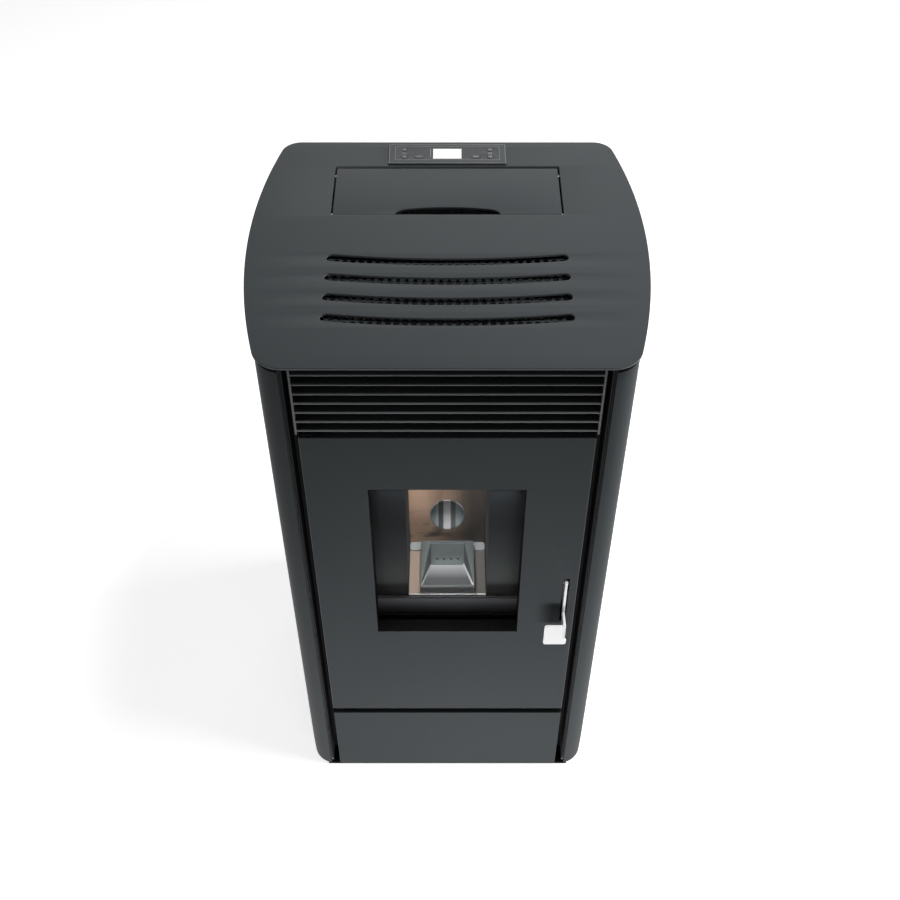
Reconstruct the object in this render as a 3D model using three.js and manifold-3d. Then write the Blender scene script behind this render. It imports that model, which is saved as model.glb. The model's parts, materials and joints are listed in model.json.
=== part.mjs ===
import * as THREE from 'three';
import { mergeVertices } from 'three/addons/utils/BufferGeometryUtils.js';
import Module from 'manifold-3d';

// A free-standing pellet stove, in millimetres. X is to the right, Y to the back and Z up.
// The origin lies on the floor, at the middle of the width and of the depth over the handle and the flue.

const wasm = await Module();
wasm.setup();

// ---- Driving dimensions ----

const fit = 0.3; // gap between pieces that rest on each other
const running = 0.3; // radial gap of a pin or shaft in its hole

// Casing
const stoveHeight = 960; // floor to the upper face of the top plate
const stoveWidth = 530; // top plate at its widest
const stoveDepth = 482; // top plate from front edge to back edge
const sideBowRadius = 860;
const sideBowCentre = 9; // the widest place, behind the middle of the depth
const frontCornerRadius = 40;
const rearCornerRadius = 28;
const topThickness = 3.5;
const casingSheet = 2;
const casingInset = 3.5; // side panels inside the edge of the top plate
const shadowGap = 3.3; // dark line between the side panels and the top plate
const floorGap = 6; // dark line under the panels
const panelSetback = 63.4; // front edge of a side panel inside the widest place
const panelReturn = 14; // side panel's edge folded back into the recess
const backPanelInset = 5.6; // back panel's side edge inside the rear corner's arc

// Front recess and its posts
const frontFace = 4; // door and panels behind the top plate's front edge
const recessDepth = 32; // front faces to the bulkhead plane
const bulkheadSetback = 51.6; // firebox flange inside the side panel's front edge

// Base
const baseThickness = 2.5;
const baseSetback = 34; // base plate's front edge behind the top plate's
const footRadius = 20;
const footSideInset = 100; // foot's axis inside the top plate's widest place
const footEndInset = 76; // and inside its front and back edges
const footNutHeight = 8;
const footNutRadius = 9;
const footStudRadius = 5;
const footStudHeight = 26;

// Top plate slots and the mesh under them
const slotCount = 4;
const slotSideInset = 106.5; // slot's end inside the widest place
const slotWidth = 14;
const slotSag = 9; // middle of a slot towards the front
const slotPitch = 39.7;
const firstSlotBack = 92.6; // front slot's ends behind the front edge
const meshSideMargin = 13.5; // mesh beyond a slot's end
const meshThickness = 1.5;
const meshDrop = 5;
const meshMargin = 22;
const meshHolesPerRow = 11;
const meshHoleSize = 10;

// Louvre grille
const grilleSideGap = 9.6; // dark channel beside the grille
const grilleFrame = 2.5;
const slatCount = 7;
const slatPitch = 16;
const grilleRise = 11.8; // lowest slat above the door
const slatThickness = 2.2;
const slatDepth = 18;
const slatTilt = 12; // degrees, rear edge down

// Door
const doorSideGap = 12.6; // dark channel beside the door
const doorBottom = 187;
const doorTopDrop = 125; // under the upper face of the top plate
const doorSheet = 2;
const doorDepth = 21;
const windowSideMargin = 83.5; // door face beside the window
const windowBottom = 408;
const windowTopDrop = 99; // under the door's upper edge
const doorFrameSetback = 24; // inside the door's edge
const doorFrameThickness = 4;
const doorFrameMargin = 6;
const hingeInset = 11; // hinge axis inside the door's left edge
const hingeBack = 11; // hinge axis behind the door's front face
const hingePinRadius = 4;
const hingeEar = 9; // half width of the bushed ear on the door frame
const hingeEarHeight = 20;
const bracketThickness = 4;
const bracketHalf = 8;
const bracketGap = 2; // hinge tabs above and below the door
const bracketLeg = 32;
const glassThickness = 4;
const glassMargin = 12;
const retainerThickness = 2;
const retainerMargin = 16;
const sealWidth = 9;
const sealInset = 6.5; // seal inside the edge of the firebox flange

// Door handle
const handleInset = 16.5; // handle's fin inside the door's right edge
const finThickness = 4;
const gripWidth = 31.6;
const gripSheet = 3;
const gripBottom = 420;
const gripTop = 467;
const gripReliefRise = 15; // round notch where the grip bends into the fin
const gripReliefRadius = 3;
const finRise = 14; // fin above the lever's pin
const finChamfer = 20; // fin's slanted foot above the grip's lower edge
const finNeckRise = 22; // fin's lower edge over the slot's end, in front of the door
const finInnerRise = 40; // and behind it
const handleReach = 31; // grip's front face before the door's front face
const leverPivotHeight = 515;
const leverPivotBack = 14;
const leverPinRadius = 3;
const leverArmBelow = 40; // door frame's arm below and above the lever's pin
const leverArmAbove = 30;
const leverArmRim = 10;
const slotBottom = 437;
const slotRise = 26; // slot above the lever's pin
const handleSlotWidth = 9;
const keeperPinRadius = 3;
const latchGap = 0.5; // hook drawn this far under the keeper's pin
const keeperSetback = 11; // keeper's pin behind its face
const keeperRise = 10; // keeper's pin above the lever's pin
const keeperHalfWidth = 13;
const keeperBelow = 38; // window's reach under the keeper's pin, for the swinging hook
const keeperAbove = 20;

// Lower front panel
const lowerPanelTop = 173;
const lowerPanelBottom = 4;

// Hopper lid
const lidSideInset = 108.7; // lid's edge inside the widest place
const lidFront = 175.8; // before the top plate's back edge
const lidBack = 67;
const lidRearGap = 4.6;
const lidGap = 2.5;
const notchHalfWidth = 72;
const notchDepth = 16.5;
const notchRadius = 9;
const lidAxisInset = 12; // hinge axis before the lid's rear edge
const lidPinRadius = 1.8;
const lidKnuckleRadius = 3.4;
const lidAxisDrop = 2.3; // hinge axis under the lid

// Control panel
const bezelHalfWidth = 84;
const bezelFront = 59; // before the top plate's back edge
const bezelDepth = 48.5;
const bezelRise = 3;
const displayWidth = 40.6;
const displayDepth = 24.8;
const displaySetback = 34; // its middle before the top plate's back edge
const keyRise = 0.6;
const arrowKeyX = 61.5;
const arrowKeySpread = 9.2;
const arrowKeyRadius = 4;
const ovalKeyX = 40.5;
const ovalKeySetback = 42.5;
const boardThickness = 1.6;
const boardDrop = 10;

// Fire chamber
const fireboxSideMargin = 22; // flange beside the firebox's opening
const fireboxBottom = 210;
const fireboxTopDrop = 45; // under the door's upper edge
const fireboxDepth = 160;
const fireboxWall = 3;
const flangeOverlap = 15; // flange above and below the firebox's opening
const nicheHalfWidth = 60.5;
const nicheFront = 75; // behind the top plate's front edge
const nicheBack = 180;
const nicheFloor = 404;
const nicheTopDrop = 30; // under the firebox's top
const linerThickness = 3;
const floorLip = 3;
const apronBottom = 335;
const baffleThickness = 8;

// Burn pot and its cradle
const potHalfWidth = 42;
const potFront = 78;
const potBack = 169;
const potRimRise = 20; // rim above the fire floor
const potWall = 3;
const potMouthHalfWidth = 41;
const potRearHalfWidth = 27.25;
const potCavityBack = 165;
const potCavityFront = 81;
const potCavityDrop = 38; // hollow's bottom under the fire floor
const potHoleRadius = 2;
const potHolePitch = 11.2;
const potHoleDrop = 22; // air holes under the fire floor
const cradleThickness = 3;
const cradleEarDepth = 16.5;
const igniterRadius = 5;
const igniterLength = 66;

// Ash pan
const panSideGap = 8; // ash pan inside the firebox's wall
const panHeight = 112;
const panLength = 104;
const panSheet = 2;
const panPullHalf = 40; // pull tab on the pan's front
const panPullReach = 14;
const panPullDrop = 17;
const panPullSheet = 3;

// Pellet feed
const chuteRadius = 26;
const chuteWall = 1.5;
const chuteMouthHeight = 475;
const chuteSlope = 41; // degrees
const chuteReach = 60; // drawn this far before the fire's back wall
const dropSetback = 209; // pellet drop before the top plate's back edge
const augerSlope = 30; // degrees, rising to the front
const augerTubeRadius = 32;
const augerWall = 3;
const augerLength = 170;
const augerRearSetback = 91;
const augerRearHeight = 590;
const dropRise = 60; // top of the tube's outlet cut over the auger's rear end
const screwRadius = 27;
const screwShaftRadius = 7;
const screwPitch = 45;
const flightThickness = 2.5;
const augerMotorLength = 60;
const augerMotorHalf = 27;
const hopperSheet = 1.5;
const hopperFront = 261; // before the top plate's back edge
const hopperNeck = 21.5; // narrow neck under the top plate
const hopperTaperRise = 85; // over the spout
const spoutHalfWidth = 26;
const spoutFront = 147;
const spoutBack = 101;
const spoutHeight = 665;

// Exhaust and air
const exhaustX = 55;
const exhaustSetback = 146; // before the top plate's back edge
const exhaustHeight = 275;
const scrollRadius = 78;
const scrollWidth = 70;
const ductSheet = 2;
const ductWidth = 80; // suction duct beside the fan
const ductHalf = 40;
const exhaustWheelRadius = 60;
const bladeCount = 8;
const bladeLength = 32;
const wheelHubRadius = 14;
const exhaustMotorRadius = 34;
const exhaustMotorLength = 55;
const flueRadius = 40;
const flueWall = 2;
const flueFlangeRadius = 54;
const intakeX = -100;
const intakeHeight = 330;
const intakeRadius = 25;

// Room-air blower
const blowerX = -30;
const blowerLength = 200;
const blowerSetback = 152;
const blowerHeight = 70;
const blowerRadius = 34;
const blowerBlades = 12;

// Power inlet
const inletX = -150;
const inletHeight = 150;
const inletWidth = 30;
const inletTall = 50;
const inletDeep = 26;
const inletRim = 4;
const inletRimSheet = 2.5;

// ---- Places that follow from the dimensions ----

const front = -stoveDepth / 2;
const back = stoveDepth / 2;
const frontPlane = front + frontFace;
const bulkhead = frontPlane + recessDepth;
const plateUnder = stoveHeight - topThickness;
const panelTop = plateUnder - shadowGap;
const baseTop = floorGap + fit + baseThickness;
const backPlane = back - casingInset - casingSheet;
const footX = stoveWidth / 2 - footSideInset;
const panelHalfWidth = stoveWidth / 2 - panelSetback;
const bulkheadHalfGap = panelHalfWidth - bulkheadSetback;
const slotHalfLength = stoveWidth / 2 - slotSideInset;
const meshHalfWidth = slotHalfLength + meshSideMargin;
const grilleHalfWidth = panelHalfWidth - grilleSideGap;
const doorHalfWidth = panelHalfWidth - doorSideGap;
const windowHalfWidth = doorHalfWidth - windowSideMargin;
const doorFrameHalfWidth = doorHalfWidth - doorFrameSetback;
const hingeX = hingeInset - doorHalfWidth;
const handleX = doorHalfWidth - handleInset;
const lidHalfWidth = stoveWidth / 2 - lidSideInset;
const fireboxHalfWidth = bulkheadHalfGap - fireboxSideMargin;
const panHalfWidth = fireboxHalfWidth - panSideGap;
const footY = back - footEndInset;
const handleFront = frontPlane - handleReach;
const doorTop = stoveHeight - doorTopDrop;
const windowTop = doorTop - windowTopDrop;
const lowestSlat = doorTop + grilleRise;
const finTop = leverPivotHeight + finRise;
const slotTop = leverPivotHeight + slotRise;
const fireboxTop = doorTop - fireboxTopDrop;
const nicheTop = fireboxTop - nicheTopDrop;
const potRim = nicheFloor + potRimRise;
const potCavityBottom = nicheFloor - potCavityDrop;
const potHoleHeight = nicheFloor - potHoleDrop;
const hopperTaperTop = spoutHeight + hopperTaperRise;
const hopperShoulder = plateUnder - hopperNeck;
const flueEnd = -handleFront;
const niche = front + nicheFront;
const nicheRear = front + nicheBack;
const fireboxRear = bulkhead + fireboxDepth;
const radians = THREE.MathUtils.degToRad;
const huge = 2000;

// ---- Solids ----

function solid(geometry) {
  const bare = new THREE.BufferGeometry();
  bare.setAttribute('position', geometry.getAttribute('position').clone());
  if (geometry.index) bare.setIndex(geometry.index.clone());
  const merged = mergeVertices(bare, 1e-4);
  const corners = [];
  const index = merged.index.array;
  for (let i = 0; i < index.length; i += 3) {
    const [a, b, c] = [index[i], index[i + 1], index[i + 2]];
    if (a !== b && b !== c && c !== a) corners.push(a, b, c);
  }
  return new wasm.Manifold(new wasm.Mesh({
    numProp: 3,
    vertProperties: new Float32Array(merged.getAttribute('position').array),
    triVerts: new Uint32Array(corners),
  }));
}

function box(x0, x1, y0, y1, z0, z1) {
  const geometry = new THREE.BoxGeometry(x1 - x0, y1 - y0, z1 - z0);
  geometry.translate((x0 + x1) / 2, (y0 + y1) / 2, (z0 + z1) / 2);
  return solid(geometry);
}

// A round bar between two points.
function bar(radius, from, to, sides = 16) {
  const start = new THREE.Vector3(...from);
  const run = new THREE.Vector3(...to).sub(start);
  const geometry = new THREE.CylinderGeometry(radius, radius, run.length(), sides);
  geometry.translate(0, run.length() / 2, 0);
  const turn = new THREE.Quaternion().setFromUnitVectors(new THREE.Vector3(0, 1, 0), run.normalize());
  geometry.applyQuaternion(turn);
  geometry.translate(start.x, start.y, start.z);
  return solid(geometry);
}

// A shape drawn in X and Y, raised from z0 to z1.
function raised(shape, z0, z1, curveSegments = 7) {
  const geometry = new THREE.ExtrudeGeometry(shape, { depth: z1 - z0, bevelEnabled: false, curveSegments });
  geometry.translate(0, 0, z0);
  return solid(geometry);
}

// A profile drawn in Y and Z, given its thickness along X from x0 to x1.
function profileAcross(points, x0, x1) {
  const shape = new THREE.Shape(points.map(([y, z]) => new THREE.Vector2(y, z)));
  const geometry = new THREE.ExtrudeGeometry(shape, { depth: x1 - x0, bevelEnabled: false });
  geometry.rotateY(Math.PI / 2);
  geometry.rotateX(Math.PI / 2);
  geometry.translate(x0, 0, 0);
  return solid(geometry);
}

// A body between a lower and an upper rectangle, each [x0, x1, y0, y1].
function taper(lower, z0, upper, z1) {
  const ring = ([x0, x1, y0, y1], z) => [[x0, y0, z], [x1, y0, z], [x1, y1, z], [x0, y1, z]];
  const corners = [...ring(lower, z0), ...ring(upper, z1)];
  const faces = [0, 2, 1, 0, 3, 2, 4, 5, 6, 4, 6, 7];
  for (let i = 0; i < 4; i += 1) {
    const next = (i + 1) % 4;
    faces.push(i, next, next + 4, i, next + 4, i + 4);
  }
  const geometry = new THREE.BufferGeometry();
  geometry.setAttribute('position', new THREE.Float32BufferAttribute(corners.flat(), 3));
  geometry.setIndex(faces);
  return solid(geometry);
}

// The mirror image of a solid in the plane X = 0.
function mirrored(body) {
  const mesh = body.getMesh();
  const vertProperties = mesh.vertProperties.map((value, i) => (i % 3 === 0 ? -value : value));
  const triVerts = mesh.triVerts.map((_, i, all) => all[i - (i % 3) + 2 - (i % 3)]);
  return new wasm.Manifold(new wasm.Mesh({ numProp: 3, vertProperties, triVerts }));
}

const joined = (...solids) => solids.reduce((all, next) => all.add(next));
const cut = (base, ...tools) => tools.reduce((left, tool) => left.subtract(tool), base);

// ---- Finishes ----

const finishes = {
  paintedSteel: { color: 0x44484a, roughness: 0.5, metalness: 0.35 },
  darkSteel: { color: 0x101113, roughness: 0.6, metalness: 0.3 },
  fireSteel: { color: 0x2a2c30, roughness: 0.75, metalness: 0.4 },
  tintedSteel: { color: 0x96806f, roughness: 0.45, metalness: 0.6 },
  polishedSteel: { color: 0xe2e3e4, roughness: 0.12, metalness: 1 },
  zincSteel: { color: 0xa2a5a8, roughness: 0.4, metalness: 0.9 },
  castIron: { color: 0x77797b, roughness: 0.55, metalness: 0.8 },
  ceramicGlass: { color: 0x1b1a19, roughness: 0.05, metalness: 0 },
  sealRope: { color: 0x3a3a3a, roughness: 0.95, metalness: 0 },
  vermiculite: { color: 0xb6a184, roughness: 0.95, metalness: 0 },
  blackPlastic: { color: 0x17181a, roughness: 0.45, metalness: 0 },
  greyPlastic: { color: 0x6d7072, roughness: 0.5, metalness: 0 },
  whiteDisplay: { color: 0xf4f6f6, roughness: 0.2, metalness: 0 },
  boardGreen: { color: 0x1d5a3a, roughness: 0.5, metalness: 0 },
};

const stove = new THREE.Group();

function group(parent, position) {
  const made = new THREE.Group();
  made.position.set(...position);
  parent.add(made);
  return made;
}

// Adds a named piece; its solid is given in the stove's own coordinates unless the piece is placed.
function piece(parent, name, body, finish, position = [0, 0, 0]) {
  const mesh = body.getMesh();
  const geometry = new THREE.BufferGeometry();
  geometry.setAttribute('position', new THREE.BufferAttribute(mesh.vertProperties, 3));
  geometry.setIndex(new THREE.BufferAttribute(mesh.triVerts, 1));
  geometry.computeVertexNormals();
  const made = new THREE.Mesh(geometry, new THREE.MeshStandardMaterial(finishes[finish]));
  made.name = name;
  made.position.set(...position);
  parent.add(made);
  return made;
}

// ---- Casing ----

// The arcs of the bowed outline's right-hand side, moved in from the top plate's edge by inset.
function bowArcs(inset) {
  const radius = sideBowRadius - inset;
  const centreX = stoveWidth / 2 - sideBowRadius;
  const corner = (line, filletRadius, towards) => {
    const r = filletRadius - inset;
    const y = line - towards * (inset + r);
    const x = centreX + Math.sqrt((radius - r) ** 2 - (y - sideBowCentre) ** 2);
    return { x, y, r, angle: Math.atan2(y - sideBowCentre, x - centreX) };
  };
  const near = corner(front, frontCornerRadius, -1);
  const far = corner(back, rearCornerRadius, 1);
  return { radius, centreX, near, far };
}

const backHalfWidth = bowArcs(0).far.x - backPanelInset;

function bowedOutline(inset) {
  const { radius, centreX, near, far } = bowArcs(inset);
  const shape = new THREE.Shape();
  shape.moveTo(-near.x, front + inset);
  shape.lineTo(near.x, front + inset);
  shape.absarc(near.x, near.y, near.r, -Math.PI / 2, near.angle, false);
  shape.absarc(centreX, sideBowCentre, radius, near.angle, far.angle, false);
  shape.absarc(far.x, far.y, far.r, far.angle, Math.PI / 2, false);
  shape.lineTo(-far.x, back - inset);
  shape.absarc(-far.x, far.y, far.r, Math.PI / 2, Math.PI - far.angle, false);
  shape.absarc(-centreX, sideBowCentre, radius, Math.PI - far.angle, Math.PI - near.angle, false);
  shape.absarc(-near.x, near.y, near.r, Math.PI - near.angle, Math.PI * 1.5, false);
  return shape;
}

const slotRadius = ((slotHalfLength - slotWidth / 2) ** 2 + slotSag ** 2) / (2 * slotSag);
const lidFrontY = back - lidFront;
const lidBackY = back - lidBack;
const bezelFrontY = back - bezelFront;
const bezelBackY = bezelFrontY + bezelDepth;
const controlWell = { x: bezelHalfWidth - 6, y0: bezelFrontY + 4, y1: bezelBackY - 4 };

// One curved air slot, whose ends lie endY from the middle of the plate.
function airSlot(endY) {
  const half = slotWidth / 2;
  const centreY = endY - slotSag + slotRadius;
  const swing = Math.asin((slotHalfLength - half) / slotRadius);
  const start = -Math.PI / 2 - swing;
  const end = -Math.PI / 2 + swing;
  const shape = new THREE.Shape();
  shape.absarc(0, centreY, slotRadius + half, start, end, false);
  const roundEnd = (angle, from) => shape.absarc(slotRadius * Math.cos(angle),
    centreY + slotRadius * Math.sin(angle), half, from, from + Math.PI, false);
  roundEnd(end, end);
  shape.absarc(0, centreY, slotRadius - half, end, start, true);
  roundEnd(start, start + Math.PI);
  return raised(shape, plateUnder - 1, stoveHeight + 1, 8);
}

function topPlate() {
  const slots = [];
  for (let i = 0; i < slotCount; i += 1) slots.push(airSlot(front + firstSlotBack + i * slotPitch));
  const lidHole = box(-lidHalfWidth - lidGap, lidHalfWidth + lidGap, lidFrontY - fit, lidBackY + lidRearGap,
    plateUnder - 1, stoveHeight + 1);
  const controlHole = box(-controlWell.x, controlWell.x, controlWell.y0, controlWell.y1,
    plateUnder - 1, stoveHeight + 1);
  return cut(raised(bowedOutline(0), plateUnder, stoveHeight), ...slots, lidHole, controlHole);
}

// The grating under the slots, with a folded rim that reaches up to the plate.
function outletMesh() {
  const y0 = front + firstSlotBack - slotSag - meshMargin;
  const y1 = front + firstSlotBack + (slotCount - 1) * slotPitch + meshMargin;
  const top = plateUnder - meshDrop;
  const sheet = box(-meshHalfWidth, meshHalfWidth, y0, y1, top - meshThickness, top);
  const rim = cut(box(-meshHalfWidth, meshHalfWidth, y0, y1, top - meshThickness, plateUnder - fit),
    box(-meshHalfWidth + meshThickness, meshHalfWidth - meshThickness, y0 + meshThickness, y1 - meshThickness,
      top, plateUnder));
  const holes = [];
  const holePitch = 2 * (slotHalfLength - slotWidth) / (meshHolesPerRow - 1);
  for (let row = 0; row < slotCount; row += 1) {
    for (let i = 0; i < meshHolesPerRow; i += 1) {
      const x = -slotHalfLength + slotWidth + i * holePitch;
      const bow = slotSag * (1 - (x / slotHalfLength) ** 2);
      const y = front + firstSlotBack + row * slotPitch - bow;
      holes.push(box(x - meshHoleSize, x + meshHoleSize, y - meshHoleSize / 2, y + meshHoleSize / 2,
        top - meshThickness - 1, top + 1));
    }
  }
  return cut(joined(sheet, rim), ...holes);
}

// The right-hand side panel, its front edge folded back into the recess.
function sidePanel() {
  const outer = bowArcs(casingInset);
  const inner = bowArcs(casingInset + casingSheet);
  const startAngle = (arc, x) => -Math.acos((x - arc.near.x) / arc.near.r);
  const foldX = panelHalfWidth + casingSheet;
  const foldEnd = front + casingInset + panelReturn;
  const shape = new THREE.Shape();
  shape.moveTo(panelHalfWidth, foldEnd);
  const foldStart = startAngle(outer, panelHalfWidth);
  shape.absarc(outer.near.x, outer.near.y, outer.near.r, foldStart, outer.near.angle, false);
  shape.absarc(outer.centreX, sideBowCentre, outer.radius, outer.near.angle, outer.far.angle, false);
  shape.absarc(outer.far.x, outer.far.y, outer.far.r, outer.far.angle, Math.PI / 2, false);
  shape.lineTo(backHalfWidth, back - casingInset);
  shape.lineTo(backHalfWidth, backPlane);
  shape.absarc(inner.far.x, inner.far.y, inner.far.r, Math.PI / 2, inner.far.angle, true);
  shape.absarc(inner.centreX, sideBowCentre, inner.radius, inner.far.angle, inner.near.angle, true);
  shape.absarc(inner.near.x, inner.near.y, inner.near.r, inner.near.angle, startAngle(inner, foldX), true);
  shape.lineTo(foldX, foldEnd);
  return raised(shape, floorGap, panelTop);
}

const postWall = panelHalfWidth - fit;
const keeperY = bulkhead + casingSheet + fit;
const keeperPinY = keeperY + keeperSetback;
const keeperPinZ = leverPivotHeight + keeperRise;
const keeperWindow = {
  x0: handleX - keeperHalfWidth,
  x1: handleX + keeperHalfWidth,
  z0: keeperPinZ - keeperBelow,
  z1: keeperPinZ + keeperAbove,
};

// The right-hand black post: the recess's side wall and the bulkhead beside the firebox.
function frontPost() {
  const z0 = baseTop + fit;
  const z1 = plateUnder - fit;
  return joined(
    box(postWall - casingSheet, postWall, front + casingInset + 3, bulkhead + casingSheet, z0, z1),
    box(bulkheadHalfGap + fit, postWall, bulkhead, bulkhead + casingSheet, z0, z1));
}

// The window in the right-hand post that the latch reaches through.
function keeperCut() {
  const { x0, x1, z0, z1 } = keeperWindow;
  return box(x0, x1, bulkhead - 1, bulkhead + casingSheet + 1, z0, z1);
}

function basePlate() {
  const inset = casingInset + casingSheet + fit;
  let plate = cut(raised(bowedOutline(inset), floorGap + fit, baseTop),
    box(-doorHalfWidth - 2, doorHalfWidth + 2, -huge, front + baseSetback, 0, huge),
    box(-huge, huge, -huge, front + casingInset + panelReturn + fit, 0, huge));
  for (const x of [-footX, footX]) {
    for (const y of [-footY, footY]) {
      plate = cut(plate, bar(footStudRadius + fit, [x, y, 0], [x, y, baseTop + 1]));
    }
  }
  return plate;
}

// A levelling foot about its own axis: pad, threaded stud and lock nut.
function foot() {
  const nutBottom = baseTop + fit;
  const nut = bar(footNutRadius, [0, 0, nutBottom], [0, 0, nutBottom + footNutHeight], 6);
  return joined(bar(footRadius, [0, 0, 0], [0, 0, floorGap], 24),
    bar(footStudRadius, [0, 0, floorGap / 2], [0, 0, footStudHeight], 16), nut);
}

const scrollCentre = back - exhaustSetback;
const flueHeight = exhaustHeight - scrollRadius + flueRadius;
const blowerCentre = back - blowerSetback;

function backPanel() {
  const sheet = box(-backHalfWidth + fit, backHalfWidth - fit, backPlane, backPlane + casingSheet,
    baseTop + fit, panelTop);
  const through = (radius, x, z) => bar(radius, [x, backPlane - 5, z], [x, backPlane + 5, z], 24);
  const [inletHalfX, inletHalfZ] = [inletWidth / 2 + fit, inletTall / 2 + fit];
  const inletHole = box(inletX - inletHalfX, inletX + inletHalfX, backPlane - 5, backPlane + 5,
    inletHeight - inletHalfZ, inletHeight + inletHalfZ);
  const vents = [];
  for (let i = 0; i < 9; i += 1) {
    const x = blowerX - blowerLength / 2 + 20 + i * 20;
    vents.push(box(x - 4, x + 4, backPlane - 5, backPlane + 5, blowerHeight - 25, blowerHeight + 25));
  }
  const flueHole = through(flueRadius + fit, exhaustX, flueHeight);
  const intakeHole = through(intakeRadius + fit, intakeX, intakeHeight);
  return cut(sheet, flueHole, intakeHole, inletHole, ...vents);
}

function louvreGrille() {
  const z0 = lowestSlat - slatThickness;
  const z1 = lowestSlat + (slatCount - 1) * slatPitch + 10;
  let grille = joined(
    box(-grilleHalfWidth, -grilleHalfWidth + grilleFrame, frontPlane, bulkhead - fit, z0, z1),
    box(grilleHalfWidth - grilleFrame, grilleHalfWidth, frontPlane, bulkhead - fit, z0, z1));
  const inner = grilleHalfWidth - grilleFrame / 2;
  const drop = slatDepth * Math.tan(radians(slatTilt));
  for (let i = 0; i < slatCount; i += 1) {
    const z = lowestSlat + i * slatPitch;
    const y1 = frontPlane + slatDepth;
    const half = slatThickness / 2;
    const frontEdge = [[frontPlane, z - half], [frontPlane, z + half]];
    const rearEdge = [[y1, z + half - drop], [y1, z - half - drop]];
    grille = grille.add(profileAcross([...frontEdge, ...rearEdge], -inner, inner));
  }
  return grille;
}

function lowerFrontPanel() {
  const x = doorHalfWidth;
  const shell = cut(box(-x, x, frontPlane, bulkhead - fit, lowerPanelBottom, lowerPanelTop),
    box(-x + doorSheet, x - doorSheet, frontPlane + doorSheet, huge,
      lowerPanelBottom - 1, lowerPanelTop - doorSheet));
  return cut(shell, box(-x + doorSheet, x - doorSheet, frontPlane + doorDepth, huge, 0, huge),
    box(-huge, huge, front + baseSetback - 2, huge, 0, baseTop + 2));
}

// A hinge bracket on the left post: a tab with an upright pin, and a leg on the bulkhead.
function hingeBracket(tabZ, upward) {
  const x0 = hingeX - bracketHalf;
  const x1 = hingeX + bracketHalf;
  const axisY = frontPlane + hingeBack;
  const tab = box(x0, x1, axisY - 9, bulkhead - fit, tabZ, tabZ + bracketThickness);
  const legZ0 = upward ? tabZ - bracketLeg : tabZ;
  const legZ1 = upward ? tabZ + bracketThickness : tabZ + bracketLeg;
  const leg = box(x0, x1, bulkhead - fit - casingSheet, bulkhead - fit, legZ0, legZ1);
  const pinLength = hingeEarHeight - 3;
  const pinEnd = upward ? tabZ + bracketThickness + pinLength : tabZ - pinLength;
  const pinStart = upward ? tabZ + 1 : tabZ + bracketThickness - 1;
  return joined(tab, leg, bar(hingePinRadius, [hingeX, axisY, pinStart], [hingeX, axisY, pinEnd], 20));
}

function latchKeeper() {
  const { x0, x1, z0, z1 } = keeperWindow;
  const deep = keeperPinY + 9;
  const cheek = 2;
  const face = cut(box(x0 - 8, x1 + 8, keeperY, keeperY + cheek, z0 - 6, z1 + 6),
    box(x0, x1, keeperY - 1, keeperY + cheek + 1, z0, z1));
  const left = box(x0 - cheek, x0, keeperY, deep, z0, z1);
  const right = box(x1, x1 + cheek, keeperY, deep, z0, z1);
  return joined(face, left, right,
    bar(keeperPinRadius, [x0 - cheek / 2, keeperPinY, keeperPinZ],
      [x1 + cheek / 2, keeperPinY, keeperPinZ], 16));
}

// ---- Door ----

const hingeY = frontPlane + hingeBack;
const doorRear = frontPlane + doorSheet + doorDepth;
const frameY = doorRear + fit;
const glassY = frameY + doorFrameThickness + fit;
const retainerY = glassY + glassThickness + fit;
const frameOpening = [
  windowHalfWidth + doorFrameMargin,
  windowBottom - doorFrameMargin,
  windowTop + doorFrameMargin,
];

function doorPanel() {
  const x = doorHalfWidth;
  const s = doorSheet;
  const tray = cut(box(-x, x, frontPlane, doorRear, doorBottom, doorTop),
    box(-x + s, x - s, frontPlane + s, huge, doorBottom + s, doorTop - s));
  const reveal = box(-windowHalfWidth - s, windowHalfWidth + s, frontPlane + s / 2, doorRear,
    windowBottom - s, windowTop + s);
  const opening = box(-windowHalfWidth, windowHalfWidth, -huge, huge, windowBottom, windowTop);
  const slotHalf = handleSlotWidth / 2;
  const slot = box(handleX - slotHalf, handleX + slotHalf, frontPlane - 1, frontPlane + s + 1,
    slotBottom, slotTop);
  const pinRelief = bar(hingePinRadius + 3, [hingeX, hingeY, 0], [hingeX, hingeY, stoveHeight], 20);
  return cut(tray.add(reveal), opening, slot, pinRelief);
}

const leverY = frontPlane + leverPivotBack;
const cheekGap = 4.5; // bracket cheeks either side of the fin's middle
const cheekSheet = 2.5;

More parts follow.
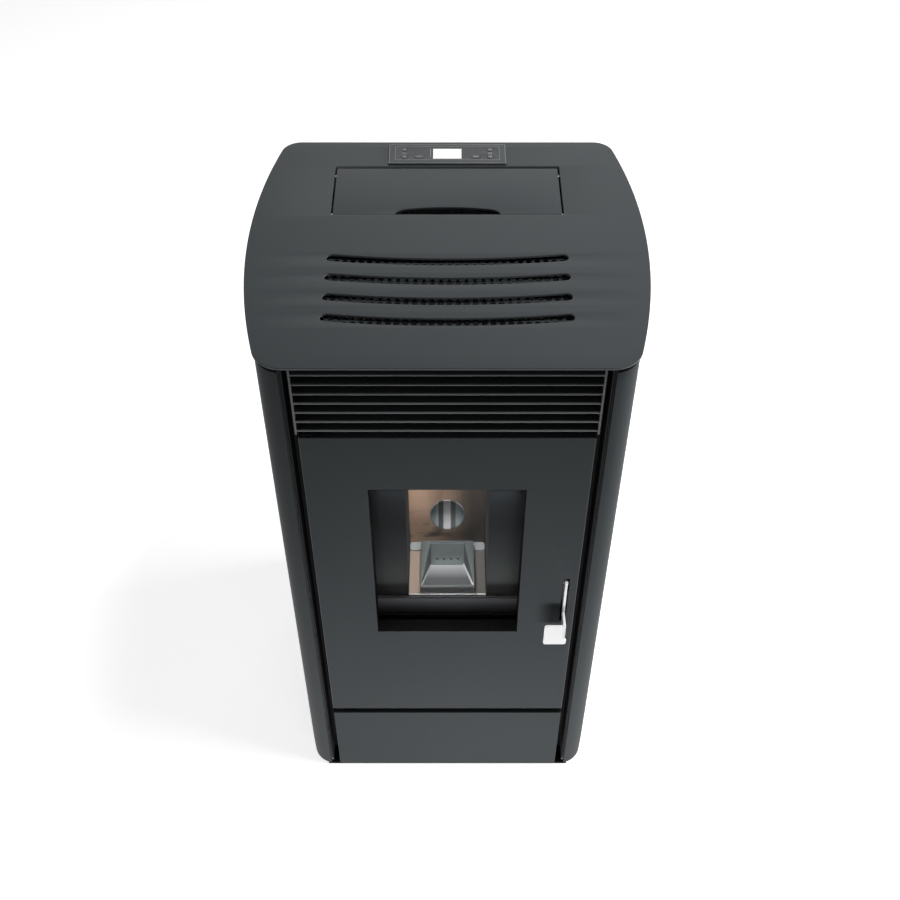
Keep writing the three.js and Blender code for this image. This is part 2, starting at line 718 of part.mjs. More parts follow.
// The inner frame with its bushed hinge ears and the two cheeks that carry the handle's pin.
function doorFrame() {
  const x = doorFrameHalfWidth;
  const y1 = frameY + doorFrameThickness;
  const z0 = doorBottom + doorSheet + fit;
  const z1 = doorTop - doorSheet - fit;
  const [openX, openZ0, openZ1] = frameOpening;
  let frame = cut(box(-x, x, frameY, y1, z0, z1), box(-openX, openX, -huge, huge, openZ0, openZ1));
  const earBack = hingeY + hingeEar;
  for (const low of [z0, z1 - hingeEarHeight]) {
    const ear = joined(box(hingeX - 8, hingeX + hingeEar, hingeY - 7, earBack, low, low + hingeEarHeight),
      box(hingeX - 5, -x + 5, hingeY + 5, y1, low, low + hingeEarHeight));
    frame = frame.add(ear);
  }
  for (const side of [-1, 1]) {
    const inner = handleX + side * cheekGap;
    const outer = inner + side * cheekSheet;
    frame = frame.add(box(Math.min(inner, outer), Math.max(inner, outer), leverY - 7, y1,
      leverPivotHeight - 14, leverPivotHeight + 14));
  }
  const arm = cut(box(x - 5, handleX + cheekGap + cheekSheet, frameY, y1,
    leverPivotHeight - leverArmBelow, leverPivotHeight + leverArmAbove),
  box(handleX - cheekGap, handleX + cheekGap, -huge, huge,
    leverPivotHeight - leverArmBelow + leverArmRim, leverPivotHeight + leverArmAbove - leverArmRim));
  const pinHole = bar(leverPinRadius + running, [handleX - 12, leverY, leverPivotHeight],
    [handleX + 12, leverY, leverPivotHeight], 16);
  const hingeHole = bar(hingePinRadius + running, [hingeX, hingeY, 0], [hingeX, hingeY, stoveHeight], 20);
  return cut(frame.add(arm), pinHole, hingeHole);
}

function frameAround(halfWidth, z0, z1, width, y0, y1) {
  return cut(box(-halfWidth, halfWidth, y0, y1, z0, z1),
    box(-halfWidth + width, halfWidth - width, -huge, huge, z0 + width, z1 - width));
}

const [openHalf, openLow, openHigh] = frameOpening;
const doorGlass = () => box(-openHalf - glassMargin, openHalf + glassMargin, glassY, glassY + glassThickness,
  openLow - glassMargin, openHigh + glassMargin);
const glassRetainer = () => frameAround(openHalf + glassMargin - 2, openLow - glassMargin + 2,
  openHigh + glassMargin - 2, retainerMargin, retainerY, retainerY + retainerThickness);

const flangeHalf = bulkheadHalfGap;
const flangeLow = fireboxBottom - flangeOverlap;
const flangeHigh = fireboxTop + flangeOverlap;
const doorSeal = () => frameAround(flangeHalf - sealInset, flangeLow + 2, flangeHigh - 2, sealWidth,
  frameY + doorFrameThickness + fit, bulkhead - fit);

// The handle: one bent sheet with a grip plate, a fin through the door and a hook behind it.
function doorHandle() {
  const x0 = handleX - finThickness / 2;
  const x1 = handleX + finThickness / 2;
  const gripBack = handleFront + gripSheet;
  const hookY = keeperPinY + keeperPinRadius + 4;
  const hookTop = keeperPinZ - keeperPinRadius - latchGap;
  const armTop = hookTop - 4;
  const armLow = leverPivotHeight - 8;
  const fin = profileAcross([
    [handleFront, gripBottom + finChamfer], [handleFront + 6, gripBottom + finChamfer - 6],
    [gripBack + 8, gripBottom + finChamfer + 2],
    [frontPlane - 3, slotBottom + finNeckRise], [frontPlane + 4, slotBottom + finInnerRise],
    [leverY + 4, armLow - 14], [hookY, armLow],
    [hookY, hookTop], [hookY - 3, hookTop], [hookY - 3, armTop - 3],
    [leverY + 6, armTop - 2], [leverY + 6, finTop - 3], [leverY, finTop + 2], [frontPlane - 4, finTop],
    [handleFront + 4, finTop - 6], [handleFront, finTop - 14],
  ], x0, x1);
  const gripShape = new THREE.Shape();
  const left = x1 - gripWidth;
  const r = 4;
  gripShape.moveTo(left + r, gripBottom);
  gripShape.lineTo(x1 - r, gripBottom);
  gripShape.absarc(x1 - r, gripBottom + r, r, -Math.PI / 2, 0, false);
  gripShape.lineTo(x1, gripTop);
  gripShape.lineTo(left + r, gripTop);
  gripShape.absarc(left + r, gripTop - r, r, Math.PI / 2, Math.PI, false);
  gripShape.absarc(left + r, gripBottom + r, r, Math.PI, Math.PI * 1.5, false);
  const settings = { depth: gripSheet, bevelEnabled: false, curveSegments: 5 };
  const plate = new THREE.ExtrudeGeometry(gripShape, settings);
  plate.rotateX(Math.PI / 2);
  plate.translate(0, gripBack, 0);
  const reliefZ = gripBottom + gripReliefRise;
  const relief = bar(gripReliefRadius, [x1 + 0.5, handleFront - 1, reliefZ],
    [x1 + 0.5, gripBack + 1, reliefZ], 14);
  const pin = bar(leverPinRadius, [handleX - cheekGap - cheekSheet - 1, leverY, leverPivotHeight],
    [handleX + cheekGap + cheekSheet + 1, leverY, leverPivotHeight], 16);
  return joined(cut(solid(plate), relief), fin, pin);
}

// ---- Hopper lid ----

const lidAxisY = lidBackY - lidAxisInset;
const lidAxisZ = plateUnder - lidAxisDrop;

function hopperLid() {
  const shape = new THREE.Shape();
  const x = lidHalfWidth;
  const deep = lidFrontY + notchDepth;
  const n = notchHalfWidth;
  const r = notchRadius;
  shape.moveTo(-x, lidFrontY);
  shape.lineTo(-n, lidFrontY);
  shape.quadraticCurveTo(-n + 1, lidFrontY + notchDepth * 0.62, -n + r * 2, deep - 4);
  shape.quadraticCurveTo(0, deep + 4, n - r * 2, deep - 4);
  shape.quadraticCurveTo(n - 1, lidFrontY + notchDepth * 0.62, n, lidFrontY);
  shape.lineTo(x, lidFrontY);
  shape.lineTo(x, lidBackY);
  shape.lineTo(-x, lidBackY);
  let lid = raised(shape, plateUnder, stoveHeight, 8);
  for (const side of [-1, 1]) {
    const a = side * (lidHalfWidth - 30);
    const b = side * (lidHalfWidth - 6);
    const knuckle = joined(bar(lidKnuckleRadius, [a, lidAxisY, lidAxisZ], [b, lidAxisY, lidAxisZ], 16),
      box(Math.min(a, b), Math.max(a, b), lidAxisY - 2.5, lidAxisY + 2.5, lidAxisZ, plateUnder + 1));
    lid = lid.add(knuckle.intersect(box(-huge, huge, -huge, huge, 0, stoveHeight)));
  }
  return cut(lid, bar(lidPinRadius + running, [-x - 1, lidAxisY, lidAxisZ], [x + 1, lidAxisY, lidAxisZ], 16));
}

// The rod that the lid turns on, with a tab at each end under the top plate.
function lidHingeRod() {
  const inner = lidHalfWidth + lidGap + 1;
  const outer = inner + 4;
  let rod = bar(lidPinRadius, [-outer + 1, lidAxisY, lidAxisZ], [outer - 1, lidAxisY, lidAxisZ], 16);
  for (const side of [-1, 1]) {
    const ends = [side * inner, side * outer].sort((a, b) => a - b);
    rod = rod.add(box(ends[0], ends[1], lidAxisY - 6, lidAxisY + 6, lidAxisZ - 4, plateUnder - fit));
  }
  return rod;
}

// ---- Control panel ----

const displayY = back - displaySetback;
const bezelUnder = stoveHeight + fit;
const bezelTop = stoveHeight + bezelRise;
const boardTop = plateUnder - boardDrop;
const keyFlangeZ = plateUnder - 1;

function ovalShape(halfX, halfY) {
  const shape = new THREE.Shape();
  shape.absellipse(0, 0, halfX, halfY, 0, Math.PI * 2, false, 0);
  return shape;
}

const ovalKey = { x: 7, y: 3.6 };
const arrowKeyY = displayY;
const keys = [
  ['key_left_up', -arrowKeyX, arrowKeyY + arrowKeySpread, arrowKeyRadius, arrowKeyRadius],
  ['key_left_down', -arrowKeyX, arrowKeyY - arrowKeySpread, arrowKeyRadius, arrowKeyRadius],
  ['key_left_oval', -ovalKeyX, back - ovalKeySetback, ovalKey.x, ovalKey.y],
  ['key_right_oval', ovalKeyX, back - ovalKeySetback, ovalKey.x, ovalKey.y],
  ['key_right_up', arrowKeyX, arrowKeyY + arrowKeySpread, arrowKeyRadius, arrowKeyRadius],
  ['key_right_down', arrowKeyX, arrowKeyY - arrowKeySpread, arrowKeyRadius, arrowKeyRadius],
];

function controlBezel() {
  const y0 = bezelFrontY;
  let bezel = box(-bezelHalfWidth, bezelHalfWidth, y0, bezelBackY, bezelUnder, bezelTop);
  const windowX = displayWidth / 2 + fit;
  const windowY = displayDepth / 2 + fit;
  bezel = cut(bezel, box(-windowX, windowX, displayY - windowY, displayY + windowY, 0, huge));
  for (const [, x, y, halfX, halfY] of keys) {
    const hole = raised(ovalShape(halfX + fit, halfY + fit), bezelUnder - 1, bezelTop + 1, 8);
    bezel = cut(bezel, hole.translate([x, y, 0]));
  }
  return bezel;
}

// One key about its own middle: the cap in the bezel and a wider flange that holds it in.
function keyCap(halfX, halfY) {
  return joined(raised(ovalShape(halfX, halfY), keyFlangeZ, bezelTop + keyRise, 8),
    raised(ovalShape(halfX + 0.9, halfY + 0.9), keyFlangeZ, keyFlangeZ + 1, 8));
}

const displayWindow = () => box(-displayWidth / 2, displayWidth / 2, displayY - displayDepth / 2,
  displayY + displayDepth / 2, boardTop + fit, bezelTop - 0.4);

function controlBoard() {
  const x = controlWell.x - 3;
  const y0 = controlWell.y0 + 2;
  const y1 = controlWell.y1 - 2;
  let board = box(-x, x, y0, y1, boardTop - boardThickness, boardTop);
  for (const px of [-x + 3, x - 3]) {
    for (const py of [y0 + 3, y1 - 3]) {
      board = board.add(bar(2, [px, py, boardTop - 1], [px, py, bezelUnder - fit], 12));
    }
  }
  return board;
}

// ---- Fire chamber ----

const chuteTan = Math.tan(radians(chuteSlope));
const dropY = back - dropSetback;
const elbowZ = chuteMouthHeight + (dropY - nicheRear) * chuteTan;
const augerRear = [0, back - augerRearSetback, augerRearHeight];
const augerRun = [0, -Math.cos(radians(augerSlope)), Math.sin(radians(augerSlope))];
const alongAuger = (distance) => augerRear.map((value, i) => value + augerRun[i] * distance);
const augerTurn = new THREE.Quaternion()
  .setFromUnitVectors(new THREE.Vector3(0, 1, 0), new THREE.Vector3(...augerRun));
const chuteTop = augerRearHeight + (augerRear[1] - dropY) * Math.tan(radians(augerSlope));

// A bar that follows the chute's slope, from before the fire's back wall up to the elbow.
function chuteRun(radius) {
  const low = [0, nicheRear - chuteReach, chuteMouthHeight - chuteReach * chuteTan];
  return bar(radius, low, [0, dropY, elbowZ], 24);
}

// The sloping run, the round elbow and the drop above it.
function chuteBody(radius, top) {
  const elbow = new THREE.SphereGeometry(radius, 24, 10);
  elbow.translate(0, dropY, elbowZ);
  return joined(chuteRun(radius), bar(radius, [0, dropY, elbowZ], [0, dropY, top], 24), solid(elbow));
}

const igniterZ = potHoleHeight + 3;
const igniterEnd = front + potBack + 5;
const duct = {
  x0: exhaustX - scrollWidth / 2 - ductWidth,
  y1: scrollCentre + ductHalf,
  z0: exhaustHeight - ductHalf,
  z1: exhaustHeight + ductHalf,
};

function fireboxShell() {
  const x = fireboxHalfWidth;
  const w = fireboxWall;
  const y1 = fireboxRear;
  const body = joined(
    box(-x - w, x + w, bulkhead, y1 + w, fireboxBottom - w, fireboxTop + w),
    box(-flangeHalf, flangeHalf, bulkhead, bulkhead + casingSheet, flangeLow, flangeHigh));
  const scrollLeft = exhaustX - scrollWidth / 2;
  const smokeHole = box(duct.x0 + ductSheet, scrollLeft - ductSheet, y1 - 1, y1 + w + 1,
    duct.z0 + ductSheet, duct.z1 - ductSheet);
  const wallHole = (radius, hx, z, sides) => bar(radius, [hx, y1 - 1, z], [hx, y1 + w + 1, z], sides);
  return cut(body, box(-x, x, bulkhead - 1, y1, fireboxBottom, fireboxTop),
    chuteBody(chuteRadius + chuteWall + fit, chuteTop), smokeHole,
    wallHole(intakeRadius - flueWall, intakeX, intakeHeight, 24),
    wallHole(igniterRadius + fit, 0, igniterZ, 16));
}

const wallX = fireboxHalfWidth - fit;
const nicheX = nicheHalfWidth - fit;

function fireBack() {
  const sheet = box(-nicheX, nicheX, nicheRear, nicheRear + linerThickness, apronBottom, nicheTop);
  const igniterHole = bar(igniterRadius + fit, [0, nicheRear - 1, igniterZ],
    [0, nicheRear + linerThickness + 1, igniterZ], 16);
  return cut(sheet, chuteRun(chuteRadius + chuteWall + fit), igniterHole);
}

// The right-hand cheek: the niche's side wall and the dark front leaf beside it.
function fireCheek() {
  const t = linerThickness;
  const z0 = nicheFloor + fit;
  return joined(box(nicheHalfWidth, nicheHalfWidth + t, niche, fireboxRear - fit, z0, nicheTop),
    box(nicheHalfWidth, wallX, niche, niche + t, z0, nicheTop));
}

const potFrontY = front + potFront;
const potBackY = front + potBack;
const cavityRear = front + potCavityBack;
const cavityFront = front + potCavityFront;
const potSlope = (potRim - 4 - potCavityBottom) / (cavityRear - cavityFront);

// The pot's wedge-shaped hollow, grown by wall on every side but the top.
function potWedge(wall, top) {
  const rear = cavityRear + wall;
  const low = potCavityBottom - wall;
  const frontY = cavityRear - (top - potCavityBottom) / potSlope - wall;
  const ratio = (cavityRear - frontY) / (cavityRear - cavityFront);
  const frontX = potRearHalfWidth + (potMouthHalfWidth - potRearHalfWidth) * ratio + wall;
  const rearX = potRearHalfWidth + wall;
  const points = [
    [-rearX, rear, low], [rearX, rear, low], [rearX, rear, top], [-rearX, rear, top], [frontX, frontY, top],
    [-frontX, frontY, top],
  ];
  const geometry = new THREE.BufferGeometry();
  geometry.setAttribute('position', new THREE.Float32BufferAttribute(points.flat(), 3));
  geometry.setIndex([0, 3, 2, 0, 2, 1, 0, 1, 4, 0, 4, 5, 0, 5, 3, 1, 2, 4, 3, 5, 4, 3, 4, 2]);
  return solid(geometry);
}

function burnPot() {
  const skirt = box(-potHalfWidth, potHalfWidth, potFrontY, potBackY, nicheFloor + fit, potRim);
  const frontBand = box(-huge, huge, cavityFront, cavityRear, 0, huge);
  const hollow = potWedge(0, potRim + 2).intersect(frontBand);
  const below = potWedge(potWall, nicheFloor + 1);
  let pot = cut(joined(skirt, below), hollow);
  for (let i = 0; i < 4; i += 1) {
    const x = (i - 1.5) * potHolePitch;
    const hole = bar(potHoleRadius, [x, cavityRear - 2, potHoleHeight], [x, potBackY + 2, potHoleHeight], 12);
    pot = cut(pot, hole);
  }
  return pot;
}

function fireFloor() {
  const y1 = nicheRear - fit;
  const sheet = box(-nicheX, nicheX, niche, y1, nicheFloor - linerThickness, nicheFloor);
  const lip = box(-nicheX, nicheX, niche, niche + 2, nicheFloor - 1, nicheFloor + floorLip);
  const drop = potWedge(potWall + 1, nicheFloor + potWall);
  return cut(joined(sheet, lip), drop);
}

function fireApron() {
  return box(-wallX, wallX, niche - fit - linerThickness, niche - fit, apronBottom, nicheFloor);
}

// A flat bracket behind the pot whose two ears lie on the floor beside it.
function potCradle() {
  const y1 = nicheRear - fit;
  const z0 = nicheFloor + fit;
  const full = box(-nicheX, nicheX, y1 - cradleEarDepth, y1, z0, z0 + cradleThickness);
  return cut(full, box(-potHalfWidth - fit, potHalfWidth + fit, -huge, potBackY + fit, 0, huge));
}

function fireBaffle() {
  return box(-wallX, wallX, niche, fireboxRear - fit, nicheTop + fit, nicheTop + fit + baffleThickness);
}

function igniter() {
  const rearY = fireboxRear + fireboxWall + fit;
  return joined(bar(igniterRadius, [0, igniterEnd, igniterZ], [0, igniterEnd + igniterLength, igniterZ], 16),
    box(-12, 12, rearY, rearY + 4, igniterZ - 12, igniterZ + 12));
}

function ashPan() {
  const x = panHalfWidth;
  const z0 = fireboxBottom + fit;
  const y0 = niche;
  const s = panSheet;
  const tray = cut(box(-x, x, y0, y0 + panLength, z0, z0 + panHeight),
    box(-x + s, x - s, y0 + s, y0 + panLength - s, z0 + s, huge));
  const pullTop = z0 + panHeight - panPullDrop;
  const pull = cut(
    box(-panPullHalf, panPullHalf, y0 - panPullReach, y0 + 1, pullTop - panPullSheet, pullTop),
    box(-panPullHalf + 10, panPullHalf - 10, y0 - panPullReach + 5, y0 - 4, 0, huge));
  return joined(tray, pull);
}

// ---- Pellet feed ----

function pelletChute() {
  const outer = chuteBody(chuteRadius + chuteWall, chuteTop);
  const inner = chuteBody(chuteRadius, chuteTop + 1);
  const tube = bar(augerTubeRadius + fit, alongAuger(-20), alongAuger(augerLength + 20), 28);
  return cut(outer, inner, box(-huge, huge, -huge, nicheRear, 0, huge), tube);
}

const spoutY0 = back - spoutFront;
const spoutY1 = back - spoutBack;

function augerTube() {
  const collar = spoutHeight - fit;
  const w = hopperSheet;
  const outer = joined(bar(augerTubeRadius, alongAuger(0), alongAuger(augerLength), 28),
    box(-spoutHalfWidth - w, spoutHalfWidth + w, spoutY0 - w, spoutY1 + w, augerRearHeight + 20, collar));
  const bore = bar(augerTubeRadius - augerWall, alongAuger(-1), alongAuger(augerLength - augerWall), 28);
  const inlet = box(-spoutHalfWidth, spoutHalfWidth, spoutY0, spoutY1, augerRearHeight + 20, collar + 1);
  const outlet = bar(chuteRadius, [0, dropY, elbowZ], [0, dropY, augerRearHeight + dropRise], 24);
  const bearing = bar(screwShaftRadius + running, alongAuger(augerLength - 10),
    alongAuger(augerLength + 5), 20);
  return cut(outer, bore, inlet, outlet, bearing);
}

// The screw: a shaft with one helical flight, drawn along its own axis and laid into the tube.
function augerScrew() {
  const flightLength = augerLength - 22;
  const steps = Math.round((flightLength / screwPitch) * 12);
  const positions = [];
  const index = [];
  const inner = screwShaftRadius - 1;
  for (let i = 0; i <= steps; i += 1) {
    const angle = (i / 12) * Math.PI * 2;
    const y = 8 + (i / steps) * flightLength;
    for (const [radius, lift] of [[inner, 0], [screwRadius, 0], [screwRadius, 1], [inner, 1]]) {
      positions.push(radius * Math.cos(angle), y + lift * flightThickness, -radius * Math.sin(angle));
    }
  }
  for (let i = 0; i < steps; i += 1) {
    for (let side = 0; side < 4; side += 1) {
      const a = i * 4 + side;
      const b = i * 4 + ((side + 1) % 4);
      index.push(a, b + 4, b, a, a + 4, b + 4);
    }
  }
  const last = steps * 4;
  index.push(0, 1, 2, 0, 2, 3, last, last + 2, last + 1, last, last + 3, last + 2);
  const flight = new THREE.BufferGeometry();
  flight.setAttribute('position', new THREE.Float32BufferAttribute(positions, 3));
  flight.setIndex(index);
  const shaft = new THREE.CylinderGeometry(screwShaftRadius, screwShaftRadius, augerLength + 22, 20);
  shaft.translate(0, augerLength / 2 - 10, 0);
  const full = new THREE.Vector3(1, 1, 1);
  const place = new THREE.Matrix4().compose(new THREE.Vector3(...augerRear), augerTurn, full);
  return joined(solid(shaft.applyMatrix4(place)), solid(flight.applyMatrix4(place)));
}

function augerMotor() {
  const h = augerMotorHalf;
  const geometry = new THREE.BoxGeometry(2 * h, augerMotorLength, 2 * h);
  geometry.translate(0, -augerMotorLength / 2, 0);
  geometry.applyQuaternion(augerTurn);
  geometry.translate(...alongAuger(-fit));
  const flange = bar(augerTubeRadius, alongAuger(-4), alongAuger(-fit), 28);
  const shaftHole = bar(screwShaftRadius + running, alongAuger(-26), alongAuger(1), 20);
  return cut(joined(solid(geometry), flange), shaftHole);
}

function pelletHopper() {
  const w = hopperSheet;
  const x = lidHalfWidth + lidGap + 8;
  const neckY = [lidFrontY - 2, lidBackY + lidRearGap + 2];
  const tankFront = back - hopperFront;
  const neckTop = plateUnder - fit;
  const layers = (g) => joined(
    box(-x - g, x + g, neckY[0] - g, neckY[1] + g, hopperShoulder - 1 - g, neckTop),
    box(-x - g, x + g, tankFront - g, neckY[1] + g, hopperTaperTop, hopperShoulder + g),
    taper([-spoutHalfWidth - g, spoutHalfWidth + g, spoutY0 - g, spoutY1 + g], spoutHeight,
      [-x - g, x + g, tankFront - g, neckY[1] + g], hopperTaperTop + 0.01));
  const inner = joined(layers(0),
    box(-x, x, neckY[0], neckY[1], neckTop - 1, neckTop + 1),
    box(-spoutHalfWidth, spoutHalfWidth, spoutY0, spoutY1, spoutHeight - 1, spoutHeight + 3));
  const ledge = (x0, x1) => box(x0, x1, neckY[0] - w, lidFrontY + 6, neckTop - w, neckTop);
  const ledgeStart = notchHalfWidth + 6;
  return joined(cut(layers(w), inner), ledge(-x - w, -ledgeStart), ledge(ledgeStart, x + w));
}

// ---- Exhaust and combustion air ----

const scrollX0 = exhaustX - scrollWidth / 2;
const scrollX1 = exhaustX + scrollWidth / 2;
const scrollAxis = (x) => [x, scrollCentre, exhaustHeight];
const collarStart = backPlane - 30;

function exhaustHousing() {
  const t = ductSheet;
  const ductStart = fireboxRear + fireboxWall + fit;
  const scroll = bar(scrollRadius, scrollAxis(scrollX0), scrollAxis(scrollX1), 28);
  const outlet = bar(flueRadius, [exhaustX, scrollCentre, flueHeight],
    [exhaustX, collarStart - fit, flueHeight], 24);
  const outletTrim = box(scrollX0, scrollX1, -huge, huge, 0, huge);
  const suction = box(duct.x0, scrollX0 + t / 2, ductStart, duct.y1, duct.z0, duct.z1);
  const clear = scrollRadius - t;
  const scrollBore = bar(clear, scrollAxis(scrollX0 + t), scrollAxis(scrollX1 - t), 28);
  const outletBore = bar(flueRadius - flueWall, [exhaustX, scrollCentre, flueHeight],
    [exhaustX, collarStart + 1, flueHeight], 24);
  const suctionBore = box(duct.x0 + t, scrollX0 - t, ductStart - 1, duct.y1 - t, duct.z0 + t, duct.z1 - t);
  const farOutlet = outlet.intersect(box(-huge, huge, scrollCentre + clear * 0.8, huge, 0, huge));
  const farBore = outletBore.intersect(box(-huge, huge, scrollCentre + clear * 0.8 - 1, huge, 0, huge));
  return cut(joined(scroll, outlet.intersect(outletTrim), farOutlet, suction), scrollBore,
    outletBore.intersect(box(scrollX0 + t, scrollX1 - t, -huge, huge, 0, huge)), farBore, suctionBore,
    bar(30, scrollAxis(scrollX0 - t - 1), scrollAxis(scrollX0 + t + 1), 24),
    bar(6, scrollAxis(scrollX1 - t - 1), scrollAxis(scrollX1 + 1), 16));
}

const wheelShaftRadius = 4;
const wheelX1 = scrollX1 - 10;

function exhaustWheel() {
  let wheel = joined(bar(exhaustWheelRadius, [wheelX1 - 2, 0, 0], [wheelX1, 0, 0], 24),
    bar(wheelHubRadius, [wheelX1 - bladeLength + 2, 0, 0], [wheelX1, 0, 0], 20),
    bar(wheelShaftRadius, [wheelX1 - 1, 0, 0], [scrollX1 + 24, 0, 0], 16));
  for (let i = 0; i < bladeCount; i += 1) {
    const inner = wheelHubRadius - 3;
    const blade = new THREE.BoxGeometry(bladeLength, ductSheet, exhaustWheelRadius - 1 - inner);
    blade.translate(wheelX1 - bladeLength / 2 - 1, 0, (exhaustWheelRadius - 1 + inner) / 2);
    blade.rotateX((i / bladeCount) * Math.PI * 2);
    wheel = wheel.add(solid(blade));
  }
  return wheel;
}

function exhaustMotor() {
  const x0 = scrollX1 + fit;
  return cut(bar(exhaustMotorRadius, scrollAxis(x0), scrollAxis(x0 + exhaustMotorLength), 24),
    bar(wheelShaftRadius + running, scrollAxis(x0 - 1), scrollAxis(x0 + 28), 16));
}

// A tube with a flange on the outer face of the back panel.
function rearSpigot(radius, x, z, start, end) {
  const outside = backPlane + casingSheet + fit;
  const body = joined(bar(radius, [x, start, z], [x, end, z], 24),
    bar(radius + flueFlangeRadius - flueRadius, [x, outside, z], [x, outside + 2, z], 24));
  return cut(body, bar(radius - flueWall, [x, start - 1, z], [x, end + 1, z], 24));
}

// ---- Room-air blower ----

function blowerHousing() {
  const t = casingSheet;
  const x0 = blowerX - blowerLength / 2 - 10;
  const x1 = blowerX + blowerLength / 2 + 10;
  const r = blowerRadius + 6;
  const y1 = blowerCentre + r + t;
  const outer = box(x0 - t, x1 + t, blowerCentre - r - t, y1, baseTop + fit, blowerHeight + r + 30);
  const inner = box(x0, x1, blowerCentre - r, blowerCentre + r, blowerHeight - r, huge);
  const backHole = box(x0, x1, blowerCentre, y1 + 1, blowerHeight - 25, blowerHeight + 25);
  const under = box(x0 + t, x1 - t, blowerCentre - r, blowerCentre + r, 0, blowerHeight - r - t);
  const bearings = bar(wheelShaftRadius + running, [x0 - t - 1, blowerCentre, blowerHeight],
    [x1 + t + 1, blowerCentre, blowerHeight], 16);
  return cut(outer, inner, backHole, under, bearings);
}

function blowerWheel() {
  const half = blowerLength / 2;
  let wheel = bar(wheelShaftRadius, [-half - 11, 0, 0], [half + 11, 0, 0], 16);
  for (const x of [-half, -1, half - 2]) wheel = wheel.add(bar(blowerRadius, [x, 0, 0], [x + 2, 0, 0], 24));
  for (let i = 0; i < blowerBlades; i += 1) {
    const blade = new THREE.BoxGeometry(2 * half, 1.6, 12);
    blade.translate(0, 0, blowerRadius - 7);
    blade.rotateX((i / blowerBlades) * Math.PI * 2);
    wheel = wheel.add(solid(blade));
  }
  return wheel;
}

// ---- Power inlet ----

const switchZ = inletHeight + 13;
const switchAxisY = backPlane + casingSheet - 3;
const rockerHalfWidth = 6;
const rockerHalfTall = 9;

function powerInlet() {
  const w = inletWidth / 2;
  const tall = inletTall / 2;
  const outside = backPlane + casingSheet + fit;
  const body = joined(
    box(inletX - w, inletX + w, outside - inletDeep, outside + 1, inletHeight - tall, inletHeight + tall),
    box(inletX - w - inletRim, inletX + w + inletRim, outside, outside + inletRimSheet,
      inletHeight - tall - inletRim, inletHeight + tall + inletRim));
  const socketZ = inletHeight - 11;
  const socket = box(inletX - 12, inletX + 12, outside - 15, huge, socketZ - 8, socketZ + 8);
  const wellHalf = rockerHalfWidth + 0.5;
  const rockerWell = box(inletX - wellHalf, inletX + wellHalf, switchAxisY - 9, huge,
    switchZ - rockerHalfTall - 1.5, switchZ + rockerHalfTall + 1.5);
  const axle = bar(1.2 + running, [inletX - 9, switchAxisY, switchZ], [inletX + 9, switchAxisY, switchZ], 12);
  let inlet = cut(body, socket, rockerWell, axle);
  for (const [dx, dz] of [[-7, 0], [7, 0], [0, 3]]) {
    const [px, pz] = [inletX + dx, socketZ + dz];
    inlet = inlet.add(box(px - 2, px + 2, outside - 16, outside - 1, pz - 1, pz + 1));
  }
  return inlet;
}

// The rocker about its own axle, pressed in at the top when it is on.
function powerSwitch() {
  const tall = rockerHalfTall;
  return joined(profileAcross([[-3, -tall + 2], [7, -tall], [4.4, 0], [3.2, tall], [-3, tall - 2]],
    -rockerHalfWidth, rockerHalfWidth), bar(1.2, [-8.5, 0, 0], [8.5, 0, 0], 12));
}

// ---- Assembly ----

piece(stove, 'base_plate', basePlate(), 'darkSteel');
for (const [name, x, y] of [
  ['foot_front_left', -footX, -footY],
  ['foot_front_right', footX, -footY],
  ['foot_rear_left', -footX, footY],
  ['foot_rear_right', footX, footY],
]) piece(stove, name, foot(), 'blackPlastic', [x, y, 0]);
piece(stove, 'side_panel_left', mirrored(sidePanel()), 'paintedSteel');
piece(stove, 'side_panel_right', sidePanel(), 'paintedSteel');
piece(stove, 'front_post_left', mirrored(frontPost()), 'darkSteel');
piece(stove, 'front_post_right', cut(frontPost(), keeperCut()), 'darkSteel');
piece(stove, 'back_panel', backPanel(), 'darkSteel');
piece(stove, 'top_plate', topPlate(), 'paintedSteel');
piece(stove, 'outlet_mesh', outletMesh(), 'paintedSteel');
piece(stove, 'louvre_grille', louvreGrille(), 'paintedSteel');
piece(stove, 'lower_front_panel', lowerFrontPanel(), 'paintedSteel');
const lowerTab = doorBottom - bracketGap - bracketThickness;
const upperTab = doorTop + bracketGap;
piece(stove, 'hinge_bracket_lower', hingeBracket(lowerTab, true), 'darkSteel');
piece(stove, 'hinge_bracket_upper', hingeBracket(upperTab, false), 'darkSteel');
piece(stove, 'latch_keeper', latchKeeper(), 'zincSteel');
piece(stove, 'lid_hinge_rod', lidHingeRod(), 'zincSteel');

piece(stove, 'firebox_shell', fireboxShell(), 'fireSteel');
piece(stove, 'fire_back', fireBack(), 'tintedSteel');
piece(stove, 'fire_floor', fireFloor(), 'tintedSteel');
piece(stove, 'fire_cheek_left', mirrored(fireCheek()), 'fireSteel');
piece(stove, 'fire_cheek_right', fireCheek(), 'fireSteel');
piece(stove, 'fire_apron', fireApron(), 'fireSteel');
piece(stove, 'fire_baffle', fireBaffle(), 'vermiculite');
piece(stove, 'pot_cradle', potCradle(), 'zincSteel');
piece(stove, 'igniter', igniter(), 'zincSteel');
piece(stove, 'burn_pot', burnPot(), 'castIron');
piece(stove, 'ash_pan', ashPan(), 'fireSteel');

piece(stove, 'pellet_chute', pelletChute(), 'zincSteel');
piece(stove, 'pellet_hopper', pelletHopper(), 'zincSteel');
piece(stove, 'auger_tube', augerTube(), 'zincSteel');
piece(stove, 'auger_screw', augerScrew(), 'zincSteel');
piece(stove, 'auger_motor', augerMotor(), 'blackPlastic');

